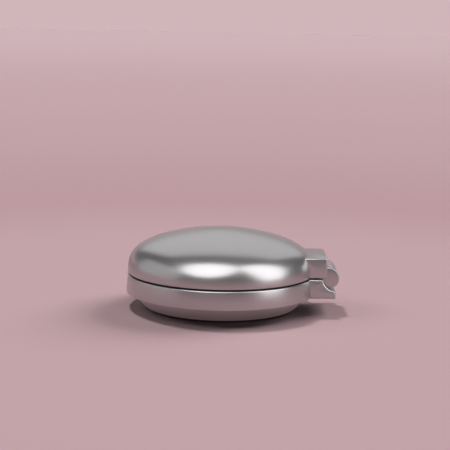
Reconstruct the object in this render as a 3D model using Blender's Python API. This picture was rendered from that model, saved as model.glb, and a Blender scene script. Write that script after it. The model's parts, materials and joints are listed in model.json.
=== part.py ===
"""Portable disc player: a domed metal clamshell with a barrel hinge at one side.

Metres, +Z up. The case is turned about the Z axis and stands on its round rubber pad at z = 0.
The hinge is at +X, and the lid's far side lifts from -X.
"""
import math

import bmesh
import bpy
from mathutils import Matrix, Vector

MM = 0.001

# Facets round a full turn
CASE_SEGMENTS = 48
ROUND_SEGMENTS = 24
SMALL_SEGMENTS = 12
SHARP_ANGLE = math.radians(32)

# Clearances
SEAT_GAP = 0.3 * MM
SLIDE_GAP = 0.3 * MM
PIVOT_GAP = 0.15 * MM
BALL_GAP = 0.1 * MM
HINGE_GAP = 1.0 * MM
CUT_MARGIN = 1.0 * MM

# Case heights and radii
CASE_RADIUS = 70.0 * MM
CASE_WALL = 2.2 * MM
PAD_PROUD = 1.5 * MM
BOWL_HEIGHT = 9.7 * MM
BOWL_FLOOR_INSET = 13.3 * MM
BAND_OVERHANG = 6.2 * MM
BOWL_BULGE = 0.9 * MM
BAND_HEIGHT = 13.8 * MM
BAND_DRAFT = 1.0 * MM
BAND_EDGE = 0.9 * MM
LID_GAP = 1.2 * MM
DOME_HEIGHT = 33.4 * MM
DOME_FLANK_POWER = 3.2
DOME_CROWN_POWER = 1.5
DOME_STEPS = 12
LID_EDGE = 0.6 * MM
LID_WALL = 2.0 * MM
LINER_WALL = 1.6 * MM
LINER_STEPS = 6
LINER_FLANGE_WIDTH = 4.9 * MM
LINER_FLANGE_HEIGHT = 1.8 * MM
LINER_RECESS = 0.2 * MM

BOWL_FLOOR_RADIUS = CASE_RADIUS - BOWL_FLOOR_INSET
BOWL_TOP_RADIUS = CASE_RADIUS - BAND_OVERHANG
BOWL_Z = PAD_PROUD
BAND_Z = BOWL_Z + BOWL_HEIGHT
RIM_Z = BAND_Z + BAND_HEIGHT
LID_Z = RIM_Z + LID_GAP
GAP_Z = (RIM_Z + LID_Z) / 2
RIM_RADIUS = CASE_RADIUS - BAND_DRAFT
FLOOR_Z = BOWL_Z + CASE_WALL
LEDGE_Z = BAND_Z + CASE_WALL
BAND_INNER_RADIUS = RIM_RADIUS - CASE_WALL

# Case screws on a circle round the rubber pad, and the bosses that they clamp
SCREW_INSET = 6.7 * MM
SCREW_ANGLES = (45.0, 135.0, 225.0, 315.0)
SCREW_RADIUS = 1.2 * MM
SCREW_HEAD_RADIUS = 2.6 * MM
SCREW_HEAD_HEIGHT = 1.6 * MM
SCREW_HEAD_SINK = 0.4 * MM
SCREW_BITE = 5.0 * MM
BASE_BOSS_RADIUS = 5.0 * MM
DECK_BOSS_RADIUS = 3.0 * MM

SCREW_CIRCLE = BOWL_FLOOR_RADIUS - SCREW_INSET

# Rubber pad and rim gasket
PAD_MARGIN = 1.4 * MM
PAD_RECESS = 1.0 * MM
GASKET_WIDTH = 0.9 * MM
GASKET_INSET = 1.2 * MM

PAD_RADIUS = SCREW_CIRCLE - SCREW_HEAD_RADIUS - PAD_MARGIN

# Barrel hinge: its axis lies along Y on the plane of the gap
HINGE_OFFSET = 9.6 * MM
BARREL_RADIUS = 7.8 * MM
HINGE_HALF_WIDTH = 21.5 * MM
BARREL_HALF_WIDTH = 16.5 * MM
CENTRE_KNUCKLE_HALF = 5.5 * MM
WEB_INSET = 0.5 * MM
WASHER_THICKNESS = 0.6 * MM
WASHER_INSET = 1.2 * MM
PIN_RADIUS = 2.0 * MM
LID_BLOCK_SETBACK = 2.6 * MM
LID_BLOCK_HEIGHT = 13.7 * MM
BASE_BLOCK_OVERHANG = 4.4 * MM
BASE_BLOCK_LIFT = 0.3 * MM
BASE_BLOCK_DROP = 0.5 * MM
BLOCK_ROOT_DEPTH = 12.0 * MM
BLOCK_EDGE = 0.6 * MM
SCOOP_RADIUS = 9.8 * MM
SCOOP_OFFSET = 4.9 * MM

HINGE_X = CASE_RADIUS + HINGE_OFFSET
HINGE_Z = GAP_Z
WASHER_RADIUS = BARREL_RADIUS - WASHER_INSET
LID_BLOCK_REACH = HINGE_X - LID_BLOCK_SETBACK
BASE_BLOCK_REACH = HINGE_X + BASE_BLOCK_OVERHANG
SCOOP_X = HINGE_X + SCOOP_OFFSET
BLOCK_ROOT = CASE_RADIUS - BLOCK_ROOT_DEPTH

# Deck plate, the floor of the disc well
DECK_RIM_WIDTH = 5.0 * MM
WELL_WALL = 1.5 * MM
DECK_THICKNESS = 1.8 * MM
WELL_DEPTH = 4.0 * MM
DECK_RIM_DROP = 0.3 * MM
DECK_RIM_THICKNESS = 1.5 * MM
SLOT_HALF_WIDTH = 9.0 * MM
SLOT_MARGIN = 1.1 * MM

DECK_TOP_Z = RIM_Z - WELL_DEPTH
DECK_BOTTOM_Z = DECK_TOP_Z - DECK_THICKNESS
DECK_RIM_Z = RIM_Z - DECK_RIM_DROP
DECK_RADIUS = BAND_INNER_RADIUS - SEAT_GAP
WELL_RADIUS = DECK_RADIUS - DECK_RIM_WIDTH
SLOT_END = WELL_RADIUS - SLOT_MARGIN

# Lid interlock and magnetic catch, opposite the hinge
TAB_INSET = 1.75 * MM
TAB_THICKNESS = 0.8 * MM
TAB_HALF_WIDTH = 2.0 * MM
TAB_DROP = 4.8 * MM
TAB_SLOT_GAP = 0.6 * MM
SWITCH_HALF_WIDTH = 4.0 * MM
SWITCH_THICKNESS = 2.7 * MM
SWITCH_SLOT = 1.2 * MM
SWITCH_SLOT_SPARE = 0.9 * MM
SWITCH_FOOT = 3.0 * MM
CATCH_ANGLE = 160.0
MAGNET_RADIUS = 1.6 * MM
MAGNET_HEIGHT = 2.0 * MM
CATCH_PLATE_HEIGHT = 0.9 * MM
NOTCH_ANGLE = 165.0
NOTCH_RADIUS = 9.0 * MM
NOTCH_BITE = 1.2 * MM

TAB_RADIUS = DECK_RADIUS - TAB_INSET
TAB_BOTTOM_Z = DECK_RIM_Z - TAB_DROP
SWITCH_SLOT_Z = TAB_BOTTOM_Z - SWITCH_SLOT_SPARE
SWITCH_BOTTOM_Z = SWITCH_SLOT_Z - SWITCH_FOOT
CATCH_CIRCLE = DECK_RADIUS - DECK_RIM_WIDTH / 2

# Frame of the disc drive, hung under the deck
FRAME_HALF_WIDTH = 19.0 * MM
FRAME_RAIL = 2.0 * MM
FRAME_END = 3.0 * MM
FRAME_HEADROOM = 0.8 * MM
SPINDLE_MOTOR_RADIUS = 11.0 * MM
SLED_MOTOR_GAP = 3.0 * MM
SLED_MOTOR_LENGTH = 16.0 * MM
DAMPER_EAR_HALF = 5.0 * MM
DAMPER_EAR_OVERLAP = 1.0 * MM
DAMPER_OUTER_SETBACK = 15.1 * MM
DAMPER_INNER_SETBACK = 7.0 * MM
DAMPER_INNER_Y = -12.0 * MM
DAMPER_PIN_RADIUS = 1.2 * MM
DAMPER_NECK_RADIUS = 2.7 * MM
DAMPER_FLANGE_RADIUS = 4.0 * MM
DAMPER_FLANGE_HEIGHT = 0.6 * MM

FRAME_OUTER_X = SWITCH_THICKNESS / 2 + SEAT_GAP - TAB_RADIUS
FRAME_BOTTOM_Z = LEDGE_Z + SEAT_GAP
FRAME_TOP_Z = DECK_BOTTOM_Z - FRAME_HEADROOM
SLED_MOTOR_X = SPINDLE_MOTOR_RADIUS + SLED_MOTOR_GAP
FRAME_INNER_X = SLED_MOTOR_X + SLED_MOTOR_LENGTH + FRAME_END
FRAME_WINDOW_INNER_X = -SPINDLE_MOTOR_RADIUS - FRAME_RAIL
DAMPER_OUTER_X = FRAME_OUTER_X + DAMPER_OUTER_SETBACK
DAMPER_SIDE_Y = FRAME_HALF_WIDTH + DAMPER_EAR_HALF - DAMPER_EAR_OVERLAP
DAMPER_SPOTS = (
    (DAMPER_OUTER_X, DAMPER_SIDE_Y),
    (DAMPER_OUTER_X, -DAMPER_SIDE_Y),
    (FRAME_INNER_X - DAMPER_INNER_SETBACK, DAMPER_INNER_Y),
)

# Main circuit board, lying on the base bosses behind the drive
BOARD_MARGIN = 3.6 * MM
BOARD_THICKNESS = 1.4 * MM
BOARD_EDGE = 4.4 * MM

BOARD_RADIUS = BOWL_TOP_RADIUS - CASE_WALL - BOARD_MARGIN
BOARD_FRONT_Y = SCREW_CIRCLE * math.sin(math.radians(SCREW_ANGLES[0])) - DECK_BOSS_RADIUS - BOARD_EDGE
BOARD_TOP_Z = LEDGE_Z - DAMPER_FLANGE_HEIGHT - SEAT_GAP
BOARD_Z = BOARD_TOP_Z - BOARD_THICKNESS
BASE_BOSS_TOP_Z = BOARD_Z - SEAT_GAP
DECK_BOSS_BOTTOM_Z = BASE_BOSS_TOP_Z + SEAT_GAP

# Battery bay for two small round cells, side by side along X
CELL_RADIUS = 5.25 * MM
CELL_LENGTH = 44.5 * MM
CELL_NUB_RADIUS = 1.9 * MM
CELL_NUB_LENGTH = 0.8 * MM
CELL_SPACE = 0.3 * MM
CELL_HEADROOM = 0.5 * MM
BAY_WALL = 1.2 * MM
CONTACT_THICKNESS = 0.6 * MM
CONTACT_HEIGHT = 8.0 * MM

BAY_INNER_Y = -FRAME_HALF_WIDTH - SEAT_GAP - BAY_WALL
CELL_TOP_Z = DECK_BOTTOM_Z - CELL_HEADROOM
CELL_Z = CELL_TOP_Z - CELL_RADIUS
BAY_FLOOR_Z = CELL_TOP_Z - 2 * CELL_RADIUS - CELL_SPACE
BAY_OUTER_Y = BAY_INNER_Y - 4 * CELL_RADIUS - 3 * CELL_SPACE
BAY_HALF_LENGTH = CELL_LENGTH / 2 + 2 * CELL_SPACE + CONTACT_THICKNESS
CELL_YS = (BAY_INNER_Y - CELL_SPACE - CELL_RADIUS, BAY_OUTER_Y + CELL_SPACE + CELL_RADIUS)

# Battery door, hinged at its inner edge
DOOR_THICKNESS = 1.5 * MM
DOOR_PIN_RADIUS = 0.45 * MM
DOOR_PIN_REACH = 1.4 * MM
DOOR_THUMB_RADIUS = 5.0 * MM
DOOR_THUMB_BITE = 2.0 * MM

DOOR_AXIS_Y = BAY_INNER_Y - SLIDE_GAP - DOOR_THICKNESS / 2
DOOR_AXIS_Z = DECK_TOP_Z - DOOR_THICKNESS / 2

# Spindle and optical sled in the frame
SPINDLE_MOTOR_LIP = 1.6 * MM
SPINDLE_MOTOR_FLANGE_HEIGHT = 1.0 * MM
SPINDLE_MOTOR_DROP = 6.2 * MM
SPINDLE_SHAFT_RADIUS = 1.0 * MM
SPINDLE_SHAFT_DEPTH = 8.0 * MM
HUB_BOSS_RADIUS = 5.0 * MM
HUB_FLANGE_RADIUS = 14.5 * MM
HUB_FLANGE_HEIGHT = 2.0 * MM
HUB_HOLE_GAP = 1.5 * MM
DISC_LIFT = 2.3 * MM
HUB_NOSE_RADIUS = 7.3 * MM
HUB_NOSE_HEIGHT = 3.1 * MM
HUB_NOSE_EDGE = 0.8 * MM
CHUCK_BALL_RADIUS = 1.2 * MM
CHUCK_BALL_INSET = 0.8 * MM
CHUCK_BALL_LIFT = 1.3 * MM
CHUCK_BALL_ANGLES = (90.0, 210.0, 330.0)

LENS_REST_X = -24.0 * MM
SLED_OUTER_REACH = 3.5 * MM
SLED_INNER_REACH = 9.0 * MM
SLED_LIFT = 0.2 * MM
SLED_PROUD = 0.4 * MM
SLED_FLOOR = 0.9 * MM
ROD_INSET = 3.5 * MM
ROD_LIFT = 2.2 * MM
ROD_RADIUS = 1.0 * MM
LEAD_SCREW_RADIUS = 1.2 * MM
SLED_MOTOR_RADIUS = 2.8 * MM
SLED_MOTOR_SOCKET = 3.0 * MM
LENS_HOLDER_HALF_X = 2.4 * MM
LENS_HOLDER_HALF_Y = 4.0 * MM
LENS_HOLDER_GAP = 0.6 * MM
LENS_DROP = 1.3 * MM
LENS_RADIUS = 1.6 * MM
LENS_SINK = 0.8 * MM
LENS_CROWN = 0.5 * MM
LENS_SHOULDER_RADIUS = 1.0 * MM
LENS_SHOULDER_LIFT = 0.35 * MM

SPINDLE_MOTOR_FLANGE = SPINDLE_MOTOR_RADIUS + SPINDLE_MOTOR_LIP
SPINDLE_MOTOR_Z = FRAME_BOTTOM_Z - SPINDLE_MOTOR_DROP
HUB_HOLE_RADIUS = HUB_FLANGE_RADIUS + HUB_HOLE_GAP
HUB_SEAT_Z = DECK_TOP_Z + DISC_LIFT
CHUCK_BALL_CIRCLE = HUB_NOSE_RADIUS - CHUCK_BALL_INSET
SLED_BOTTOM_Z = FRAME_BOTTOM_Z + SLED_LIFT
SLED_TOP_Z = FRAME_TOP_Z + SLED_PROUD
SCREW_Y = FRAME_HALF_WIDTH - FRAME_RAIL - ROD_INSET
ROD_Y = -SCREW_Y
ROD_Z = FRAME_BOTTOM_Z + ROD_LIFT
LENS_HOLDER_BOTTOM_Z = SLED_BOTTOM_Z + SLED_FLOOR + LENS_HOLDER_GAP
LENS_HOLDER_TOP_Z = DECK_TOP_Z - LENS_DROP

# Controls and sockets in the rear of the band
KEY_ANGLES = {
    "skip_forward_button": 68.0,
    "play_button": 80.0,
    "stop_button": 92.0,
    "skip_back_button": 104.0,
}
KEY_LIFT = 7.4 * MM
KEY_WIDTH = 8.0 * MM
KEY_HEIGHT = 4.6 * MM
KEY_PROUD = 0.9 * MM
KEY_FLANGE_LIP = 1.0 * MM
KEY_FLANGE_THICKNESS = 1.0 * MM
KEY_EDGE = 0.4 * MM

HOLD_ANGLE = 138.0
HOLD_WIDTH = 4.0 * MM
HOLD_HEIGHT = 3.0 * MM
HOLD_TRAVEL = 4.0 * MM
HOLD_FLANGE_HALF = 4.5 * MM

WHEEL_ANGLE = 40.0
WHEEL_RADIUS = 6.0 * MM
WHEEL_PROUD = 1.0 * MM
WHEEL_THICKNESS = 2.8 * MM
WHEEL_NOTCHES = 24
WHEEL_NOTCH_DEPTH = 0.3 * MM
WHEEL_AXLE_RADIUS = 1.5 * MM
POT_HALF_WIDTH = 4.5 * MM
POT_INNER_REACH = 9.0 * MM
POT_OUTER_REACH = 1.5 * MM
POT_THICKNESS = 1.6 * MM

JACK_DEPTH = 12.0 * MM
JACK_BODY_HEIGHT = 5.0 * MM
JACK_BODY_WIDTH = 8.0 * MM
JACK_NOSE_SINK = 0.2 * MM
JACK_BORE_DEPTH = 10.0 * MM
HEADPHONE_ANGLE = 56.0
HEADPHONE_NOSE_RADIUS = 2.6 * MM
HEADPHONE_BORE_RADIUS = 1.8 * MM
DC_ANGLE = 120.0
DC_NOSE_RADIUS = 2.7 * MM
DC_BORE_RADIUS = 2.1 * MM
DC_PIN_RADIUS = 0.7 * MM
DC_PIN_SINK = 1.0 * MM

KEY_Z = BAND_Z + KEY_LIFT
WHEEL_Z = LEDGE_Z + SEAT_GAP + POT_THICKNESS + SLIDE_GAP
JACK_Z = LEDGE_Z + SEAT_GAP + JACK_BODY_HEIGHT / 2


def clear_scene():
    """Remove every object that is already in the file."""
    for item in list(bpy.data.objects):
        bpy.data.objects.remove(item, do_unlink=True)


def make_material(name, colour, roughness, metallic):
    """One Principled material."""
    material = bpy.data.materials.new(name)
    material.use_nodes = True
    shader = material.node_tree.nodes["Principled BSDF"]
    shader.inputs["Base Color"].default_value = (*colour, 1.0)
    shader.inputs["Roughness"].default_value = roughness
    shader.inputs["Metallic"].default_value = metallic
    material.diffuse_color = (*colour, 1.0)
    return material


def add_object(name, bm):
    """Turn a bmesh into a linked object with its faces pointing out."""
    bmesh.ops.recalc_face_normals(bm, faces=bm.faces)
    mesh = bpy.data.meshes.new(name)
    bm.to_mesh(mesh)
    bm.free()
    item = bpy.data.objects.new(name, mesh)
    bpy.context.scene.collection.objects.link(item)
    return item


def turned(name, profile, segments=ROUND_SEGMENTS, ring=False):
    """Spin a profile of (radius, z) points about Z; a ring's profile closes on itself."""
    bm = bmesh.new()
    points = [bm.verts.new((radius, 0.0, z)) for radius, z in profile]
    pairs = list(zip(points, points[1:]))
    if ring:
        pairs.append((points[-1], points[0]))
    edges = [bm.edges.new(pair) for pair in pairs]
    bmesh.ops.spin(
        bm, geom=points + edges, cent=(0, 0, 0), axis=(0, 0, 1),
        angle=2 * math.pi, steps=segments, use_merge=True,
    )
    bmesh.ops.remove_doubles(bm, verts=bm.verts, dist=1e-6)
    return add_object(name, bm)


def cylinder(name, radius, bottom, top, segments=SMALL_SEGMENTS):
    """A round rod between two points."""
    start = Vector(bottom)
    along = Vector(top) - start
    place = Matrix.Translation(start + along / 2) @ along.to_track_quat("Z", "Y").to_matrix().to_4x4()
    bm = bmesh.new()
    bmesh.ops.create_cone(
        bm, cap_ends=True, segments=segments, radius1=radius, radius2=radius,
        depth=along.length, matrix=place,
    )
    return add_object(name, bm)


def box(name, low, high, bevel=0.0):
    """A box between two corners, with its edges chamfered by bevel."""
    low = Vector(low)
    high = Vector(high)
    bm = bmesh.new()
    bmesh.ops.create_cube(bm, size=1.0)
    bmesh.ops.scale(bm, vec=high - low, verts=bm.verts)
    bmesh.ops.translate(bm, vec=(low + high) / 2, verts=bm.verts)
    if bevel > 0:
        bmesh.ops.bevel(bm, geom=list(bm.edges), offset=bevel, segments=1, affect="EDGES")
    return add_object(name, bm)


def settle(item):
    """Bake an object's modifiers into its mesh."""
    graph = bpy.context.evaluated_depsgraph_get()
    mesh = bpy.data.meshes.new_from_object(item.evaluated_get(graph))
    item.modifiers.clear()
    item.data = mesh


def combine(item, tool, operation):
    """Join a tool solid to an object, or cut it away, and drop the tool."""
    modifier = item.modifiers.new("combine", "BOOLEAN")
    modifier.operation = operation
    modifier.solver = "EXACT"
    modifier.object = tool
    settle(item)
    bpy.data.objects.remove(tool, do_unlink=True)


def join(item, tool):
    """Add a tool solid to an object."""
    combine(item, tool, "UNION")


def cut(item, tool):
    """Take a tool solid away from an object."""
    combine(item, tool, "DIFFERENCE")


def spin_place(item, degrees):
    """Turn an object's mesh about the case axis."""
    item.data.transform(Matrix.Rotation(math.radians(degrees), 4, "Z"))
    return item


def finish(item, material, pivot=(0.0, 0.0, 0.0)):
    """Give an object its material, its shading and an origin at its pivot."""
    item.data.materials.clear()
    item.data.materials.append(material)
    item.data.shade_smooth()
    item.data.set_sharp_from_angle(angle=SHARP_ANGLE)
    item.data.transform(Matrix.Translation(-Vector(pivot)))
    item.location = pivot
    return item


def on_circle(radius, degrees, z=0.0):
    """A point at an angle on a circle round the case axis."""
    angle = math.radians(degrees)
    return Vector((radius * math.cos(angle), radius * math.sin(angle), z))


def arc(centre, radius, start, end, steps):
    """Points along an arc, with angles in degrees from +X towards +Z."""
    points = []
    for step in range(steps + 1):
        angle = math.radians(start + (end - start) * step / steps)
        points.append((centre[0] + radius * math.cos(angle), centre[1] + radius * math.sin(angle)))
    return points


def bowl_wall(inset, bottom_z, top_z, steps=4):
    """The bulging wall of the bowl, moved in by inset, from its foot to the band."""
    foot = BOWL_FLOOR_RADIUS - inset
    head = BOWL_TOP_RADIUS - inset
    points = []
    for step in range(steps + 1):
        share = step / steps
        bulge = BOWL_BULGE * 4 * share * (1 - share)
        points.append((foot + (head - foot) * share + bulge, bottom_z + (top_z - bottom_z) * share))
    return points


def flat_behind_band(half_width):
    """How far out a flat face of this half width may lie behind the band's round wall."""
    wall = BAND_INNER_RADIUS * math.cos(math.pi / CASE_SEGMENTS)
    return math.sqrt(wall ** 2 - half_width ** 2) - SEAT_GAP


def band_radius(z):
    """Outer radius of the band at a height."""
    return CASE_RADIUS - BAND_DRAFT * (z - BAND_Z) / BAND_HEIGHT


def dome_curve(radius, height, start_z, steps):
    """Flattened dome from start_z to its crown, standing on the plane of the gap."""
    rise = max(start_z - GAP_Z, 0.0) / height
    start = math.asin(rise ** (DOME_FLANK_POWER / 2))
    points = []
    for step in range(steps):
        angle = start + (math.pi / 2 - start) * step / steps
        reach = math.cos(angle) ** (2 / DOME_CROWN_POWER)
        lift = math.sin(angle) ** (2 / DOME_FLANK_POWER)
        points.append((radius * reach, GAP_Z + height * lift))
    return points + [(0.0, GAP_Z + height)]


def hinge_rod(name, radius, start_y, end_y, segments=ROUND_SEGMENTS):
    """A rod on the hinge axis."""
    return cylinder(name, radius, (HINGE_X, start_y, HINGE_Z), (HINGE_X, end_y, HINGE_Z), segments)


def base_shell(material):
    """Lower case: a bowl with a flat band round it, and the hinge's lower block."""
    outer = [(0.0, BOWL_Z)]
    outer += bowl_wall(0.0, BOWL_Z, BAND_Z)
    outer += [
        (CASE_RADIUS - BAND_EDGE, BAND_Z),
        (CASE_RADIUS, BAND_Z + BAND_EDGE),
    ]
    outer += arc((RIM_RADIUS - BAND_EDGE, RIM_Z - BAND_EDGE), BAND_EDGE, 0, 90, 2)
    outer.append((0.0, RIM_Z))
    shell = turned("base_shell", outer, CASE_SEGMENTS)

    block_top = RIM_Z - BASE_BLOCK_DROP
    join(shell, box(
        "block", (BLOCK_ROOT, -HINGE_HALF_WIDTH, BAND_Z + BASE_BLOCK_LIFT),
        (BASE_BLOCK_REACH, HINGE_HALF_WIDTH, block_top), BLOCK_EDGE,
    ))
    far = HINGE_HALF_WIDTH + CUT_MARGIN
    cut(shell, cylinder("scoop", SCOOP_RADIUS, (SCOOP_X, -far, HINGE_Z), (SCOOP_X, far, HINGE_Z), ROUND_SEGMENTS))
    relief_end = BARREL_HALF_WIDTH + SLIDE_GAP
    cut(shell, hinge_rod("relief", BARREL_RADIUS + HINGE_GAP, -relief_end, relief_end))
    join(shell, hinge_rod("knuckle", BARREL_RADIUS, -CENTRE_KNUCKLE_HALF, CENTRE_KNUCKLE_HALF))
    web_bottom = HINGE_Z - BARREL_RADIUS - HINGE_GAP - CUT_MARGIN
    web_half = CENTRE_KNUCKLE_HALF - WEB_INSET
    join(shell, box("web", (BLOCK_ROOT, -web_half, web_bottom), (HINGE_X, web_half, block_top - BLOCK_EDGE)))
    cut(shell, hinge_rod("pin_bore", PIN_RADIUS + SLIDE_GAP, -relief_end, relief_end, SMALL_SEGMENTS))

    inner = [(0.0, FLOOR_Z)]
    inner += bowl_wall(CASE_WALL, FLOOR_Z, LEDGE_Z)
    inner += [
        (BAND_INNER_RADIUS, LEDGE_Z),
        (BAND_INNER_RADIUS, RIM_Z + CUT_MARGIN),
        (0.0, RIM_Z + CUT_MARGIN),
    ]
    cut(shell, turned("hollow", inner, CASE_SEGMENTS))
    add_base_bosses(shell)
    pad_top = BOWL_Z + PAD_RECESS
    cut(shell, cylinder(
        "pad_recess", PAD_RADIUS + SEAT_GAP, (0, 0, BOWL_Z - CUT_MARGIN), (0, 0, pad_top), CASE_SEGMENTS,
    ))
    cut_band_holes(shell)
    return finish(shell, material)


def add_base_bosses(shell):
    """Screw bosses on the floor, each with a clearance hole and a counterbore from below."""
    head_top = BOWL_Z + SCREW_HEAD_SINK + SCREW_HEAD_HEIGHT + SEAT_GAP
    for angle in SCREW_ANGLES:
        foot = on_circle(SCREW_CIRCLE, angle, BOWL_Z + CASE_WALL / 2)
        top = on_circle(SCREW_CIRCLE, angle, BASE_BOSS_TOP_Z)
        join(shell, cylinder("boss", BASE_BOSS_RADIUS, foot, top))
        below = on_circle(SCREW_CIRCLE, angle, BOWL_Z - CUT_MARGIN)
        above = on_circle(SCREW_CIRCLE, angle, BASE_BOSS_TOP_Z + CUT_MARGIN)
        cut(shell, cylinder("hole", SCREW_RADIUS + SLIDE_GAP, below, above))
        seat = on_circle(SCREW_CIRCLE, angle, head_top)
        cut(shell, cylinder("counterbore", SCREW_HEAD_RADIUS + SLIDE_GAP, below, seat))


def band_window(half_width, half_height, z):
    """A rectangular cutter through the band at +X."""
    inside = BAND_INNER_RADIUS - 2 * CUT_MARGIN
    return box(
        "window", (inside, -half_width, z - half_height),
        (CASE_RADIUS + CUT_MARGIN, half_width, z + half_height),
    )


def cut_band_holes(shell):
    """Windows for the keys, the hold slider and the wheel, the sockets' holes and the thumb notch."""
    for angle in KEY_ANGLES.values():
        window = band_window(KEY_WIDTH / 2 + SLIDE_GAP, KEY_HEIGHT / 2 + SLIDE_GAP, KEY_Z)
        cut(shell, spin_place(window, angle))
    hold_half = (HOLD_WIDTH + HOLD_TRAVEL) / 2 + SLIDE_GAP
    cut(shell, spin_place(band_window(hold_half, HOLD_HEIGHT / 2 + SLIDE_GAP, KEY_Z), HOLD_ANGLE))
    wheel_low = on_circle(wheel_circle(), WHEEL_ANGLE, WHEEL_Z - SLIDE_GAP)
    wheel_high = on_circle(wheel_circle(), WHEEL_ANGLE, WHEEL_Z + WHEEL_THICKNESS + SLIDE_GAP)
    cut(shell, cylinder("wheel_slot", WHEEL_RADIUS + SLIDE_GAP, wheel_low, wheel_high, ROUND_SEGMENTS))
    inside = BAND_INNER_RADIUS - CUT_MARGIN
    outside = CASE_RADIUS + CUT_MARGIN
    for angle, radius in ((HEADPHONE_ANGLE, HEADPHONE_NOSE_RADIUS), (DC_ANGLE, DC_NOSE_RADIUS)):
        start = on_circle(inside, angle, JACK_Z)
        end = on_circle(outside, angle, JACK_Z)
        cut(shell, cylinder("socket_hole", radius + SEAT_GAP, start, end))
    notch = bmesh.new()
    centre = on_circle(RIM_RADIUS + NOTCH_RADIUS - NOTCH_BITE, NOTCH_ANGLE, RIM_Z)
    bmesh.ops.create_uvsphere(
        notch, u_segments=SMALL_SEGMENTS, v_segments=SMALL_SEGMENTS // 2, radius=NOTCH_RADIUS,
        matrix=Matrix.Translation(centre),
    )
    cut(shell, add_object("notch", notch))


def rest_pad(material):
    """Rubber pad let into the underside, with a rounded lower edge."""
    top = BOWL_Z + PAD_RECESS - SEAT_GAP
    edge = PAD_PROUD / 2
    profile = [(0.0, 0.0), (PAD_RADIUS - edge, 0.0), (PAD_RADIUS, edge), (PAD_RADIUS, top), (0.0, top)]
    return finish(turned("rest_pad", profile, CASE_SEGMENTS), material)


def rim_gasket(material):
    """Soft ring on the rim of the base, seen as the dark line under the lid."""
    outer = RIM_RADIUS - GASKET_INSET
    inner = outer - GASKET_WIDTH
    low = RIM_Z + SEAT_GAP
    high = LID_Z - SEAT_GAP
    profile = [(inner, low), (outer, low), (outer, high), (inner, high)]
    return finish(turned("rim_gasket", profile, CASE_SEGMENTS, ring=True), material)


def case_screws(material):
    """Pan-head screws up through the base bosses into the deck."""
    low = BOWL_Z + SCREW_HEAD_SINK
    neck = low + SCREW_HEAD_HEIGHT
    tip = DECK_BOSS_BOTTOM_Z + SCREW_BITE
    profile = [
        (0.0, low), (SCREW_HEAD_RADIUS, low), (SCREW_HEAD_RADIUS, neck),
        (SCREW_RADIUS, neck), (SCREW_RADIUS, tip), (0.0, tip),
    ]
    for number, angle in enumerate(SCREW_ANGLES, start=1):
        screw = turned(f"case_screw_{number}", profile, SMALL_SEGMENTS)
        screw.data.transform(Matrix.Translation(on_circle(SCREW_CIRCLE, angle)))
        finish(screw, material)


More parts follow.
